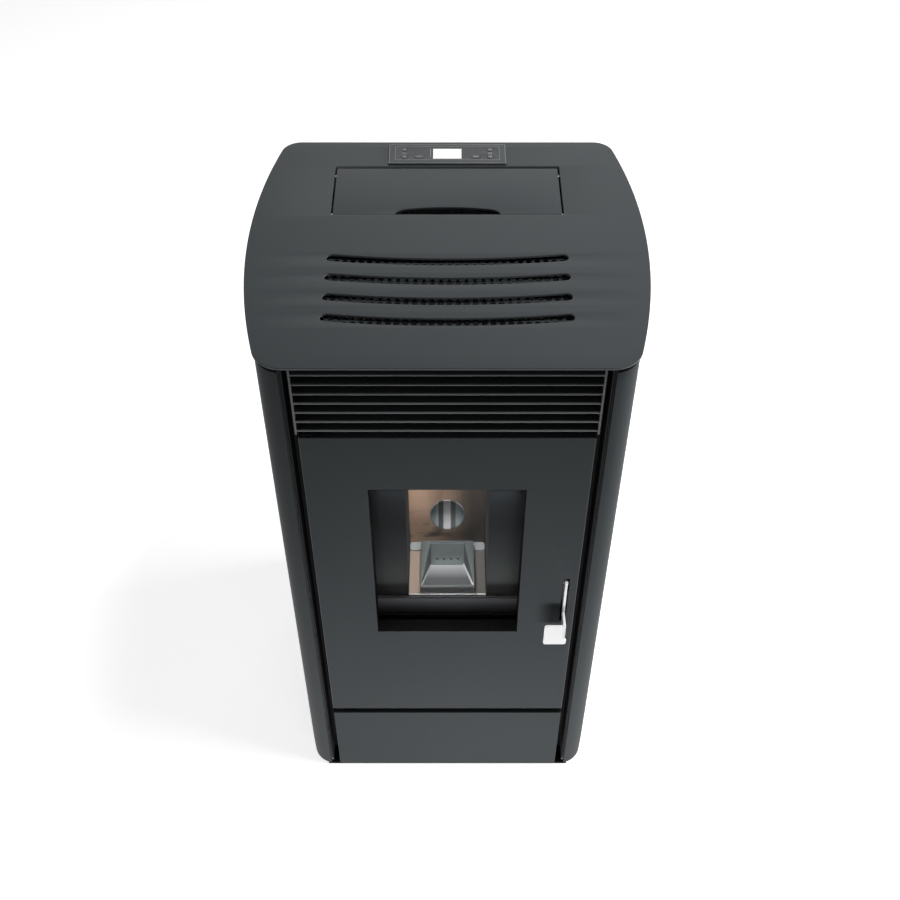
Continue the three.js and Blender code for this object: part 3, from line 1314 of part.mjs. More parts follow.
piece(stove, 'exhaust_fan_housing', exhaustHousing(), 'zincSteel');
const exhaustGroup = group(stove, [0, scrollCentre, exhaustHeight]);
piece(exhaustGroup, 'exhaust_fan_wheel', exhaustWheel(), 'zincSteel');
piece(stove, 'exhaust_fan_motor', exhaustMotor(), 'blackPlastic');
piece(stove, 'flue_collar', rearSpigot(flueRadius, exhaustX, flueHeight, collarStart, flueEnd), 'darkSteel');
const intakeStart = fireboxRear + fireboxWall + fit;
const intakePipe = rearSpigot(intakeRadius, intakeX, intakeHeight, intakeStart, flueEnd - 12);
piece(stove, 'air_intake_pipe', intakePipe, 'zincSteel');

piece(stove, 'blower_housing', blowerHousing(), 'zincSteel');
const blowerGroup = group(stove, [blowerX, blowerCentre, blowerHeight]);
piece(blowerGroup, 'blower_wheel', blowerWheel(), 'blackPlastic');

piece(stove, 'power_inlet', powerInlet(), 'blackPlastic');
const switchGroup = group(stove, [inletX, switchAxisY, switchZ]);
piece(switchGroup, 'power_switch', powerSwitch(), 'blackPlastic');

piece(stove, 'control_bezel', controlBezel(), 'blackPlastic');
piece(stove, 'display_window', displayWindow(), 'whiteDisplay');
piece(stove, 'control_board', controlBoard(), 'boardGreen');
for (const [name, x, y, halfX, halfY] of keys) {
  piece(stove, name, keyCap(halfX, halfY), 'greyPlastic', [x, y, 0]);
}

const lidGroup = group(stove, [0, lidAxisY, lidAxisZ]);
piece(lidGroup, 'hopper_lid', hopperLid(), 'paintedSteel', [0, -lidAxisY, -lidAxisZ]);

const doorGroup = group(stove, [hingeX, hingeY, 0]);
const inDoor = [-hingeX, -hingeY, 0];
piece(doorGroup, 'door_panel', doorPanel(), 'paintedSteel', inDoor);
piece(doorGroup, 'door_frame', doorFrame(), 'darkSteel', inDoor);
piece(doorGroup, 'door_glass', doorGlass(), 'ceramicGlass', inDoor);
piece(doorGroup, 'glass_retainer', glassRetainer(), 'darkSteel', inDoor);
piece(doorGroup, 'door_seal', doorSeal(), 'sealRope', inDoor);
piece(doorGroup, 'door_handle', doorHandle(), 'polishedSteel', inDoor);

export default stove;
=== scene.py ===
import json
import math

import bmesh
import bpy
from mathutils import Matrix, Vector


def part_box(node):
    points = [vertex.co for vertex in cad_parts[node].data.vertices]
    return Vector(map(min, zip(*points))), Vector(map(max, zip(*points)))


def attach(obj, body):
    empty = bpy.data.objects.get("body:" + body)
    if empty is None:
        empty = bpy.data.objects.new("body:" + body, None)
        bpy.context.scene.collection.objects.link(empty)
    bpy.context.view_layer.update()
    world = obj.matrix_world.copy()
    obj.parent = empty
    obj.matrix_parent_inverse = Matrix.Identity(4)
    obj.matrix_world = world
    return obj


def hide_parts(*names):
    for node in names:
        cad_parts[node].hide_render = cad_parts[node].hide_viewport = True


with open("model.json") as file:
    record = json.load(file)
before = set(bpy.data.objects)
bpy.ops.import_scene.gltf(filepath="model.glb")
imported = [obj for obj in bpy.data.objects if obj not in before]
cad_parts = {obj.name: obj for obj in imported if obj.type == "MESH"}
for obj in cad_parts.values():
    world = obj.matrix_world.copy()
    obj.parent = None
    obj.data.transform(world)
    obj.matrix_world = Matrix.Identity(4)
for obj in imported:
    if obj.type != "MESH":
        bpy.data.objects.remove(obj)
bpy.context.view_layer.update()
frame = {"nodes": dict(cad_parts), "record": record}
nodes = frame["nodes"]
behaviour = frame["record"]["behaviour"]
bodyOf = {node: body for body, names in behaviour["bodies"].items() for node in names}
slotOf = {part["node"]: part["material_slot"] for part in frame["record"]["subparts"]}
mm = 0.001
print("frame loaded:", len(nodes), "nodes")


# the camera stands at the photograph's angle, in metres and degrees
camera = {"lens": 48.5, "sensor": 36, "place": (0.001, -1.294, 1.9462), "pitch": 43.03, "shiftX": 0.0022}


def setCamera():
    data = bpy.data.cameras.new("camera")
    data.lens = camera["lens"]
    data.sensor_width = camera["sensor"]
    data.shift_x = camera["shiftX"]
    obj = bpy.data.objects.new("camera", data)
    obj.location = camera["place"]
    obj.rotation_euler = (math.radians(camera["pitch"]), 0, 0)
    bpy.context.scene.collection.objects.link(obj)
    bpy.context.scene.camera = obj


setCamera()


# gives a node's inputs their values, or links them where the value is another node's socket
def feed(tree, node, values):
    for key, value in values.items():
        if isinstance(value, bpy.types.NodeSocket):
            tree.links.new(value, node.inputs[key])
        else:
            node.inputs[key].default_value = value


def addNode(tree, kind, values=None, **options):
    node = tree.nodes.new(kind)
    for option, value in options.items():
        setattr(node, option, value)
    feed(tree, node, values or {})
    return node


def maths(tree, operation, first, second=0.5):
    return addNode(tree, "ShaderNodeMath", {0: first, 1: second}, operation=operation).outputs[0]


# the floor shows white to the camera, in gloss and through glass, and still keeps a soft shadow
studio = {
    "floorColor": 0.03,
    "shownFloor": 0.8,
    "floorLift": 0.74,
    "floorSize": 60,
    "skyLight": 0.02,
    "background": 1.0,
}
# each lamp's place, aim, width and depth in metres, and power in watts
lamps = {
    "key": ((0.95, -0.36, 3.6), (0, 0, 0.9), (0.5, 0.5), 46),
    "back": ((0.1, 2.3, 2.3), (0, 0, 0.9), (1.8, 1.2), 15),
    "left": ((-2.4, -0.45, 1.4), (0, 0, 0.6), (1.6, 1.6), 7),
    "right": ((2.2, 0.2, 1.3), (0, 0, 0.5), (1.2, 1.6), 56),
    "low": ((0.1, -1.05, 0.06), (0, -0.25, 0.12), (0.7, 0.2), 10.5),
    "inside": ((-0.012, -0.12, 0.752), (0, -0.12, 0.4), (0.09, 0.07), 1.1),
    "glow": ((0, -0.178, 0.655), (0, -0.175, 0.36), (0.2, 0.02), 0.3),
}
# the lamps that gloss doesn't mirror
unmirrored = ("glow", "low")


# one for the rays that see the background: from the camera, off gloss and through glass
def shownTo(tree, ray):
    shown = ray.outputs["Is Camera Ray"]
    for kind in ("Is Glossy Ray", "Is Transmission Ray"):
        shown = maths(tree, "MAXIMUM", shown, ray.outputs[kind])
    return shown


def setStage():
    bm = bmesh.new()
    bmesh.ops.create_grid(bm, x_segments=1, y_segments=1, size=studio["floorSize"] / 2)
    mesh = bpy.data.meshes.new("floor")
    bm.to_mesh(mesh)
    bm.free()
    floor = bpy.data.objects.new("floor", mesh)
    bpy.context.scene.collection.objects.link(floor)
    mat = bpy.data.materials.new("paleFloor")
    mat.use_nodes = True
    tree = mat.node_tree
    tree.nodes.clear()
    ray = addNode(tree, "ShaderNodeLightPath")
    tone = addNode(tree, "ShaderNodeMapRange", {
        "Value": ray.outputs["Is Camera Ray"],
        "To Min": studio["floorColor"], "To Max": studio["shownFloor"]})
    plain = addNode(tree, "ShaderNodeBsdfDiffuse", {"Color": tone.outputs["Result"]})
    amount = maths(tree, "MULTIPLY", shownTo(tree, ray), studio["floorLift"])
    lift = addNode(tree, "ShaderNodeEmission", {"Strength": amount})
    both = addNode(tree, "ShaderNodeAddShader", {0: plain.outputs[0], 1: lift.outputs[0]})
    addNode(tree, "ShaderNodeOutputMaterial", {"Surface": both.outputs[0]})
    mesh.materials.append(mat)


def setWorld():
    world = bpy.data.worlds.new("studio")
    bpy.context.scene.world = world
    world.use_nodes = True
    tree = world.node_tree
    tree.nodes.clear()
    seen = shownTo(tree, addNode(tree, "ShaderNodeLightPath"))
    strength = addNode(tree, "ShaderNodeMapRange", {
        "Value": seen, "To Min": studio["skyLight"], "To Max": studio["background"]})
    sky = addNode(tree, "ShaderNodeBackground", {
        "Strength": strength.outputs["Result"], "Color": (1, 1, 1, 1)})
    addNode(tree, "ShaderNodeOutputWorld", {"Surface": sky.outputs[0]})


def setLamps():
    for name, (place, aim, size, power) in lamps.items():
        data = bpy.data.lights.new(name, "AREA")
        data.shape = "RECTANGLE"
        data.size, data.size_y = size
        data.energy = power
        obj = bpy.data.objects.new(name, data)
        obj.location = place
        obj.rotation_euler = (Vector(aim) - Vector(place)).to_track_quat("-Z", "Y").to_euler()
        obj.visible_camera = False
        obj.visible_glossy = name not in unmirrored
        bpy.context.scene.collection.objects.link(obj)


setStage()
setWorld()
setLamps()
bpy.context.scene.view_settings.view_transform = "Standard"
print("stage, world and lamps set")


# finishes: linear colours, and grain sizes as the noise scale over the stove's own metres
def startFinish(name, color, roughness, metallic=0.0, gloss=None):
    mat = bpy.data.materials.new(name)
    mat.use_nodes = True
    mat.diffuse_color = (*color, 1)
    shader = mat.node_tree.nodes["Principled BSDF"]
    feed(mat.node_tree, shader, {"Base Color": (*color, 1), "Roughness": roughness, "Metallic": metallic})
    if gloss is not None:
        shader.inputs["Specular IOR Level"].default_value = gloss
    return mat, mat.node_tree, shader


def objectPlace(tree, stretch=(1, 1, 1)):
    place = addNode(tree, "ShaderNodeTexCoord").outputs["Object"]
    return addNode(tree, "ShaderNodeMapping", {"Vector": place, "Scale": stretch}).outputs["Vector"]


def noiseAt(tree, vector, scale, detail=2.0, rough=0.5):
    values = {"Vector": vector, "Scale": scale, "Detail": detail, "Roughness": rough}
    return addNode(tree, "ShaderNodeTexNoise", values).outputs["Fac"]


def spread(tree, value, low, high, fromLow=0.3, fromHigh=0.7):
    values = {"Value": value, "From Min": fromLow, "From Max": fromHigh, "To Min": low, "To Max": high}
    return addNode(tree, "ShaderNodeMapRange", values).outputs["Result"]


def ramp(tree, value, stops):
    made = addNode(tree, "ShaderNodeValToRGB", {"Fac": value})
    points = made.color_ramp.elements
    while len(points) < len(stops):
        points.new(0.5)
    for point, (place, color) in zip(points, stops):
        point.position = place
        point.color = (*color, 1)
    return made.outputs["Color"]


def mixed(tree, amount, first, second, way="MIX"):
    mix = addNode(tree, "ShaderNodeMix", data_type="RGBA", blend_type=way)
    for socket, value in (("Factor", amount), ("A", first), ("B", second)):
        target = [s for s in mix.inputs if s.name == socket and s.enabled][0]
        if isinstance(value, bpy.types.NodeSocket):
            tree.links.new(value, target)
        else:
            target.default_value = (*value, 1) if isinstance(value, tuple) else value
    return [s for s in mix.outputs if s.enabled][0]


# one axis of the object's own space, spread over 0 to 1
def alongAxis(tree, axis, low, high, mirrored=False):
    split = addNode(tree, "ShaderNodeSeparateXYZ", {"Vector": objectPlace(tree)})
    place = split.outputs[axis]
    if mirrored:
        place = maths(tree, "ABSOLUTE", place)
    return spread(tree, place, 0, 1, low, high)


def roughen(tree, shader, height, strength, distance):
    bump = addNode(tree, "ShaderNodeBump", {"Height": height, "Strength": strength, "Distance": distance})
    tree.links.new(bump.outputs["Normal"], shader.inputs["Normal"])


# two tones in patches under a fine grain; each noise is its scale, detail and roughness
grained = {
    "anthracitePaint": {
        "tones": ((0.046, 0.052, 0.055), (0.052, 0.058, 0.061)),
        "patch": (7, 3, 0.5), "span": (0, 1), "grain": (1400, 2, 0.6), "roughness": (0.42, 0.52),
        "bump": (0.25, 0.00012), "metallic": 0.05, "gloss": 0.1},
    "mattBlackPaint": {
        "tones": ((0.0045, 0.0045, 0.005), (0.008, 0.008, 0.009)),
        "patch": (1100, 2, 0.6), "span": (0.3, 0.7), "grain": (1100, 2, 0.6), "roughness": (0.6, 0.6),
        "bump": (0.3, 0.00015), "metallic": 0.1, "gloss": 0.3},
    "smokedSteel": {
        "tones": ((0.030, 0.033, 0.038), (0.012, 0.013, 0.015)),
        "patch": (16, 5, 0.6), "span": (0.35, 0.65), "grain": (700, 2, 0.5), "roughness": (0.6, 0.8),
        "bump": (0.3, 0.0002), "metallic": 0.3, "gloss": 0.3},
    "bareCast": {
        "tones": ((0.24, 0.24, 0.235), (0.15, 0.155, 0.15)),
        "patch": (60, 5, 0.6), "span": (0.3, 0.7), "grain": (900, 3, 0.6), "roughness": (0.42, 0.6),
        "bump": (0.35, 0.0002), "metallic": 0.7, "gloss": None},
    "castPot": {
        "tones": ((0.115, 0.132, 0.135), (0.09, 0.105, 0.108)),
        "patch": (45, 4, 0.6), "span": (0.3, 0.7), "grain": (900, 3, 0.6), "roughness": (0.48, 0.62),
        "bump": (0.3, 0.0002), "metallic": 0.2, "gloss": None},
    "deepBlack": {
        "tones": ((0.0012, 0.0013, 0.0014), (0.002, 0.002, 0.0022)),
        "patch": (900, 2, 0.5), "span": (0.3, 0.7), "grain": (900, 2, 0.5), "roughness": (0.75, 0.75),
        "bump": None, "metallic": 0, "gloss": 0.05},
}


def grainedFinish(name, tones, patch, span, grain, roughness, bump, metallic, gloss):
    mat, tree, shader = startFinish(name, tones[0], roughness[0], metallic, gloss)
    place = objectPlace(tree)
    patches = spread(tree, noiseAt(tree, place, *patch), 0, 1, *span)
    grains = noiseAt(tree, place, *grain)
    feed(tree, shader, {"Base Color": mixed(tree, patches, *tones)})
    if roughness[0] < roughness[1]:
        feed(tree, shader, {"Roughness": spread(tree, grains, *roughness)})
    if bump:
        roughen(tree, shader, grains, *bump)
    return mat


def mouldedPlastic(name, dark, light, roughness, gloss=None):
    return grainedFinish(name, (dark, light), (40, 2, 0.5), (0, 1), (1600, 2, 0.6),
                         (roughness - 0.06, roughness + 0.06), (0.18, 0.0001), 0, gloss)


# the anthracite paint with a painted highlight, a lighter tone where one axis of the piece lies between two
# places, such as a sheet's edge
def edgeHighlightPaint(name, axis, start, end, tone, mirrored=False, gloss=0.1):
    mat = grainedFinish(name, **{**grained["anthracitePaint"], "gloss": gloss})
    tree = mat.node_tree
    color = tree.nodes["Principled BSDF"].inputs["Base Color"]
    highlit = alongAxis(tree, axis, start, end, mirrored)
    tree.links.new(mixed(tree, highlit, color.links[0].from_socket, tone), color)
    return mat


heat = {
    "tones": [(0.0, (0.43, 0.285, 0.20)), (0.3, (0.35, 0.235, 0.165)), (0.56, (0.19, 0.125, 0.09)),
              (0.72, (0.08, 0.06, 0.047)), (0.82, (0.042, 0.033, 0.027)), (1.0, (0.055, 0.045, 0.037))],
    "halfWidth": 0.061,
    "soot": (0.06, 0.052, 0.047),
    "sootMost": 0.9,
    "sootFrom": 0.43,
    "sootTo": 0.5,
    "cloudScale": 26,
    "brush": 1500,
}


# brown across the back wall, darker towards the right, with clouds of soot low down
def heatTintedSteel():
    mat, tree, shader = startFinish("heatTintedSteel", heat["tones"][2][1], 0.5, 0.25)
    split = addNode(tree, "ShaderNodeSeparateXYZ", {"Vector": objectPlace(tree)})
    across = spread(tree, split.outputs["X"], 0, 1, -heat["halfWidth"], heat["halfWidth"])
    tint = ramp(tree, across, heat["tones"])
    clouds = spread(tree, noiseAt(tree, objectPlace(tree, (1, 1, 1.6)), heat["cloudScale"]), 0, 1, 0.5, 0.66)
    low = spread(tree, split.outputs["Z"], heat["sootMost"], 0, heat["sootFrom"], heat["sootTo"])
    amount = maths(tree, "MULTIPLY", clouds, low)
    brushed = noiseAt(tree, objectPlace(tree, (1, 1, 0.02)), heat["brush"])
    feed(tree, shader, {"Base Color": mixed(tree, amount, tint, heat["soot"]),
                        "Roughness": spread(tree, brushed, 0.4, 0.58)})
    roughen(tree, shader, brushed, 0.12, 0.0001)
    return mat


def polishedSteel():
    mat, tree, shader = startFinish("polishedSteel", (0.86, 0.865, 0.87), 0.16, 1.0)
    lines = noiseAt(tree, objectPlace(tree, (1, 1, 0.03)), 1800)
    tree.links.new(spread(tree, lines, 0.12, 0.24), shader.inputs["Roughness"])
    roughen(tree, shader, lines, 0.04, 0.00005)
    return mat


def zincPlate():
    mat, tree, shader = startFinish("zincPlate", (0.38, 0.39, 0.4), 0.38, 0.85)
    place = objectPlace(tree)
    flakes = addNode(tree, "ShaderNodeTexVoronoi", {"Vector": place, "Scale": 120})
    tone = ramp(tree, flakes.outputs["Color"], [(0.0, (0.33, 0.345, 0.36)), (1.0, (0.44, 0.45, 0.455))])
    grain = noiseAt(tree, place, 500, 3)
    feed(tree, shader, {"Base Color": tone, "Roughness": spread(tree, grain, 0.3, 0.48)})
    roughen(tree, shader, grain, 0.1, 0.0001)
    return mat


def clearCeramic():
    mat, tree, shader = startFinish("clearCeramic", (0.02, 0.018, 0.016), 0.03)
    smear = noiseAt(tree, objectPlace(tree), 9, 4)
    feed(tree, shader, {"Alpha": 0.1, "Roughness": spread(tree, smear, 0.02, 0.07)})
    return mat


def glassRope():
    mat, tree, shader = startFinish("glassRope", (0.05, 0.048, 0.045), 0.95)
    strand = addNode(tree, "ShaderNodeTexWave", {"Vector": objectPlace(tree), "Scale": 90, "Distortion": 1.5},
                     bands_direction="DIAGONAL").outputs["Fac"]
    tone = ramp(tree, strand, [(0.1, (0.022, 0.021, 0.02)), (0.9, (0.075, 0.072, 0.068))])
    tree.links.new(tone, shader.inputs["Base Color"])
    roughen(tree, shader, strand, 0.6, 0.0006)
    return mat


def pressedVermiculite():
    mat, tree, shader = startFinish("pressedVermiculite", (0.45, 0.36, 0.23), 0.95)
    specks = noiseAt(tree, objectPlace(tree), 420, 4, 0.7)
    tone = ramp(tree, specks, [
        (0.35, (0.28, 0.21, 0.12)), (0.5, (0.45, 0.36, 0.23)), (0.7, (0.6, 0.5, 0.33))])
    tree.links.new(tone, shader.inputs["Base Color"])
    roughen(tree, shader, specks, 0.6, 0.0006)
    return mat


def litDisplay():
    mat, tree, shader = startFinish("litDisplay", (0.86, 0.88, 0.88), 0.18)
    cells = noiseAt(tree, objectPlace(tree), 60)
    tone = ramp(tree, cells, [(0.3, (0.84, 0.86, 0.86)), (0.7, (0.9, 0.915, 0.91))])
    feed(tree, shader, {
        "Base Color": tone, "Emission Color": (0.95, 0.97, 0.97, 1), "Emission Strength": 0.18})
    return mat


def circuitBoard():
    mat, tree, shader = startFinish("circuitBoard", (0.012, 0.1, 0.04), 0.35)
    tracks = addNode(tree, "ShaderNodeTexBrick", {
        "Vector": objectPlace(tree), "Scale": 90, "Mortar Size": 0.08, "Color1": (0.010, 0.085, 0.034, 1),
        "Color2": (0.014, 0.11, 0.045, 1), "Mortar": (0.03, 0.17, 0.07, 1)})
    tree.links.new(tracks.outputs["Color"], shader.inputs["Base Color"])
    return mat


# the cheeks' tones are painted light and shade: a bright band across their lower half that stands for a
# reflection, black at the foot, fading to black at the top, and darker towards the left
cheek = {
    "tones": [(0.0, (0.010, 0.0105, 0.012)), (0.07, (0.07, 0.072, 0.08)), (0.13, (0.12, 0.124, 0.135)),
              (0.25, (0.105, 0.11, 0.115)), (0.4, (0.095, 0.105, 0.105)), (0.55, (0.050, 0.056, 0.06)),
              (0.72, (0.016, 0.019, 0.021)), (1.0, (0.0015, 0.002, 0.0025))],
    "bottom": 0.335,
    "top": 0.665,
    "halfWidth": 0.1,
    "leftShade": 0.62,
}


def stainedCheek():
    mat, tree, shader = startFinish("stainedCheek", (0.03, 0.032, 0.035), 0.62, 0.2, 0.05)
    tone = ramp(tree, alongAxis(tree, "Z", cheek["bottom"], cheek["top"]), cheek["tones"])
    across = alongAxis(tree, "X", -cheek["halfWidth"], cheek["halfWidth"])
    shade = spread(tree, across, cheek["leftShade"], 1.0, 0, 1)
    tree.links.new(mixed(tree, 1.0, tone, shade, "MULTIPLY"), shader.inputs["Base Color"])
    roughen(tree, shader, noiseAt(tree, objectPlace(tree), 700), 0.2, 0.00015)
    return mat


# brushed metal whose tone changes along one axis
def brushedTones(name, axis, low, high, stops, roughness=0.4, metallic=0.3):
    mat, tree, shader = startFinish(name, stops[0][1], roughness, metallic)
    tone = ramp(tree, alongAxis(tree, axis, low, high), stops)
    lines = noiseAt(tree, objectPlace(tree, (1, 0.05, 0.05)), 1500)
    shade = spread(tree, lines, 0.93, 1.0)
    feed(tree, shader, {"Base Color": mixed(tree, 1.0, tone, shade, "MULTIPLY"),
                        "Roughness": spread(tree, lines, roughness - 0.06, roughness + 0.06)})
    roughen(tree, shader, lines, 0.06, 0.00008)
    return mat


finishFor = {
    "painted_steel": grainedFinish("anthracitePaint", **grained["anthracitePaint"]),
    "black_steel": grainedFinish("mattBlackPaint", **grained["mattBlackPaint"]),
    "fire_steel": grainedFinish("smokedSteel", **grained["smokedSteel"]),
    "tinted_steel": heatTintedSteel(),
    "polished_steel": polishedSteel(),
    "zinc_steel": zincPlate(),
    "cast_iron": grainedFinish("bareCast", **grained["bareCast"]),
    "ceramic_glass": clearCeramic(),
    "seal_rope": glassRope(),
    "vermiculite": pressedVermiculite(),
    "black_plastic": mouldedPlastic("blackPlastic", (0.008, 0.008, 0.009), (0.012, 0.012, 0.013), 0.45),
    "key_plastic": mouldedPlastic("keyPlastic", (0.028, 0.030, 0.032), (0.04, 0.042, 0.044), 0.5),
    "display": litDisplay(),
    "circuit_board": circuitBoard(),
}
# near-black that stands for shade: the strips under the top plate's edge, the window's reveal, the channel
# feet and the floor strip, the door frame, the glass retainer and the hinge brackets
deepBlack = grainedFinish("deepBlack", **grained["deepBlack"])
potSteel = grainedFinish("castPot", **grained["castPot"])
cheekSteel = stainedCheek()
# painted reflection: the pot's slope runs from dark at its front top edge to near-white at its rear foot
slopeSteel = brushedTones("slopeSteel", "Y", -0.16, -0.076, [
    (0.0, (0.12, 0.125, 0.13)), (0.35, (0.17, 0.175, 0.18)),
    (0.7, (0.52, 0.53, 0.535)), (1.0, (0.80, 0.81, 0.81))])
# painted reflection: the pot's rear plate and front skirt are lighter copies of the pot's steel, the rear
# plate a little darker towards the top and the skirt's left end pinkish as a highlight
rearSteel = brushedTones("rearSteel", "Z", 0.366, 0.424, [
    (0.0, (0.30, 0.34, 0.35)), (1.0, (0.24, 0.275, 0.28))], 0.55, 0.15)
skirtSteel = brushedTones("skirtSteel", "X", -0.042, 0.042, [
    (0.0, (0.50, 0.46, 0.43)), (0.15, (0.42, 0.44, 0.44)), (1.0, (0.38, 0.40, 0.40))], 0.55, 0.15)
floorSteel = brushedTones("floorSteel", "X", -0.06, 0.06, [
    (0.0, (0.42, 0.33, 0.27)), (0.3, (0.36, 0.30, 0.255)),
    (0.7, (0.15, 0.145, 0.135)), (1.0, (0.135, 0.13, 0.12))])
# painted reflections: a bright band along the middle of the chute's tube and fainter ones to each side, with
# dark bands between
chuteSteel = brushedTones("chuteSteel", "X", -0.0275, 0.0275, [
    (0.0, (0.10, 0.13, 0.14)), (0.14, (0.17, 0.215, 0.225)), (0.22, (0.30, 0.33, 0.335)),
    (0.26, (0.045, 0.048, 0.05)), (0.37, (0.06, 0.062, 0.064)), (0.40, (0.42, 0.42, 0.43)),
    (0.58, (0.44, 0.44, 0.45)), (0.61, (0.07, 0.072, 0.075)), (0.72, (0.085, 0.09, 0.09)),
    (0.76, (0.24, 0.27, 0.275)), (0.87, (0.21, 0.25, 0.26)), (1.0, (0.075, 0.095, 0.10))], 0.5, 0.1)
earSteel = brushedTones("earSteel", "X", -0.06, 0.06, [
    (0.0, (0.36, 0.385, 0.39)), (0.5, (0.28, 0.30, 0.31)), (1.0, (0.34, 0.36, 0.37))], 0.5, 0.2)
# a near-white tone for the pot's edge bars and the fire floor's lip: painted highlights
brightEdge = brushedTones("brightEdge", "X", -0.06, 0.06, [
    (0.0, (0.62, 0.63, 0.63)), (0.5, (0.80, 0.80, 0.80)), (1.0, (0.95, 0.95, 0.95))], 0.3, 0.2)
# painted light and shade on the apron: near-black at its foot, brightening up its height, and a dark band
# along its top edge
apronLow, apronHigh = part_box("fire_apron")
apronSteel = brushedTones("apronSteel", "Z", apronLow.z, apronHigh.z, [
    (0.0, (0.01, 0.0105, 0.012)), (0.3, (0.28, 0.30, 0.33)), (0.94, (0.60, 0.63, 0.69)),
    (0.975, (0.04, 0.042, 0.046)), (1.0, (0.04, 0.042, 0.046))], 0.8, 0.0)
# the handle in near-white: a painted reflection of its polished steel
gripSteel = mouldedPlastic("gripSteel", (0.96, 0.96, 0.96), (0.97, 0.97, 0.97), 0.3)
# near-black for the firebox shell and the ash pan: painted shade inside the stove
sootedSteel = mouldedPlastic("sootedSteel", (0.004, 0.0042, 0.0045), (0.006, 0.0062, 0.0066), 0.8)
printedMark = mouldedPlastic("printedMark", (0.42, 0.43, 0.43), (0.5, 0.51, 0.51), 0.5, 0.12)
paleLine = mouldedPlastic("paleLine", (0.26, 0.27, 0.27), (0.30, 0.31, 0.31), 0.5, 0.12)
panelFilm = mouldedPlastic("panelFilm", (0.066, 0.072, 0.073), (0.073, 0.079, 0.080), 0.5, 0.12)
# painted highlights: a lighter tone along the top plate's edge below its top face, the door's side edges, the
# side panels' front folds, and the front noses of the slats and grille cheeks
topPaint = edgeHighlightPaint("topPaint", "Z", 0.9593, 0.9588, (0.17, 0.18, 0.185))
doorPaint = edgeHighlightPaint("doorPaint", "X", 0.1878, 0.1886, (0.15, 0.16, 0.165), mirrored=True)
panelPaint = edgeHighlightPaint("panelPaint", "X", 0.2040, 0.2030, (0.19, 0.20, 0.205), mirrored=True)
slatPaint = edgeHighlightPaint("slatPaint", "Y", -0.2348, -0.2352, (0.22, 0.22, 0.225), gloss=0.05)
# painted shade: the firebox shell, the ash pan and the hinge brackets in near-black
carriedFinish = {"firebox_shell": sootedSteel, "ash_pan": sootedSteel, "hinge_bracket_upper": deepBlack,
                 "hinge_bracket_lower": deepBlack}
for nodeName, obj in nodes.items():
    obj.data.materials.clear()
    obj.data.materials.append(carriedFinish.get(nodeName, finishFor[slotOf[nodeName]]))
print("finishes made:", len(finishFor))


# sheets, bars and refined copies that the pieces are made of
def addMesh(name, bm):
    mesh = bpy.data.meshes.new(name)
    bm.to_mesh(mesh)
    bm.free()
    obj = bpy.data.objects.new(name, mesh)
    bpy.context.scene.collection.objects.link(obj)
    return obj


def applyModifiers(obj):
    graph = bpy.context.evaluated_depsgraph_get()
    mesh = bpy.data.meshes.new_from_object(obj.evaluated_get(graph), depsgraph=graph)
    obj.modifiers.clear()
    obj.data = mesh
    return obj


def smoothFaces(obj, degrees=32):
    obj.data.shade_smooth()
    obj.data.set_sharp_from_angle(angle=math.radians(degrees))
    return obj


def arc(cx, cy, radius, start, end, steps):
    turns = [start + (end - start) * i / steps for i in range(steps + 1)]
    return [(cx + radius * math.cos(a), cy + radius * math.sin(a)) for a in turns]


def rectangle(x0, x1, y0, y1, radius=0.0, steps=6):
    if not radius:
        return [(x0, y0), (x1, y0), (x1, y1), (x0, y1)]
    quarter = math.pi / 2
    corners = [(x1 - radius, y0 + radius, -quarter), (x1 - radius, y1 - radius, 0),
               (x0 + radius, y1 - radius, quarter), (x0 + radius, y0 + radius, 2 * quarter)]
    return [point for cx, cy, start in corners
            for point in arc(cx, cy, radius, start, start + quarter, steps)]


# a flat sheet from outlines, the first outside and the rest holes, with its edges eased by a small radius
def cutSheet(name, outlines, low, high, edge, edgeSteps=2):
    curve = bpy.data.curves.new(name, "CURVE")
    curve.dimensions = "2D"
    curve.fill_mode = "BOTH"
    curve.extrude = (high - low) / 2 - edge
    curve.bevel_depth = edge
    curve.bevel_resolution = edgeSteps
    curve.offset = -edge
    for outline in outlines:
        spline = curve.splines.new("POLY")
        spline.points.add(len(outline) - 1)
        for point, (x, y) in zip(spline.points, outline):
            point.co = (x, y, 0, 1)
        spline.use_cyclic_u = True
    drawn = bpy.data.objects.new(name + "Curve", curve)
    bpy.context.scene.collection.objects.link(drawn)
    graph = bpy.context.evaluated_depsgraph_get()
    mesh = bpy.data.meshes.new_from_object(drawn.evaluated_get(graph), depsgraph=graph)
    mesh.transform(Matrix.Translation((0, 0, (low + high) / 2)))
    bpy.data.objects.remove(drawn)
    bm = bmesh.new()
    bm.from_mesh(mesh)
    bmesh.ops.remove_doubles(bm, verts=bm.verts, dist=1e-6)
    bmesh.ops.recalc_face_normals(bm, faces=bm.faces)
    obj = addMesh(name, bm)
    return smoothFaces(obj)


def quadratic(start, control, end, steps=10):
    turns = [i / steps for i in range(steps + 1)]
    return [tuple((1 - t) ** 2 * a + 2 * t * (1 - t) * b + t * t * c
                  for a, b, c in zip(start, control, end)) for t in turns]


# the same sheet stood up: outlines in x and z, from front to rear in y
def uprightSheet(name, outlines, front, rear, edge, edgeSteps=2):
    obj = cutSheet(name, outlines, -rear, -front, edge, edgeSteps)
    obj.data.transform(Matrix.Rotation(math.pi / 2, 4, "X"))
    return obj


# and across the stove: outlines in y and z, from left to right in x
def acrossSheet(name, outlines, left, right, edge, edgeSteps=2):
    obj = cutSheet(name, outlines, left, right, edge, edgeSteps)
    obj.data.transform(Matrix(((0, 0, 1, 0), (1, 0, 0, 0), (0, 1, 0, 0), (0, 0, 0, 1))))
    return obj


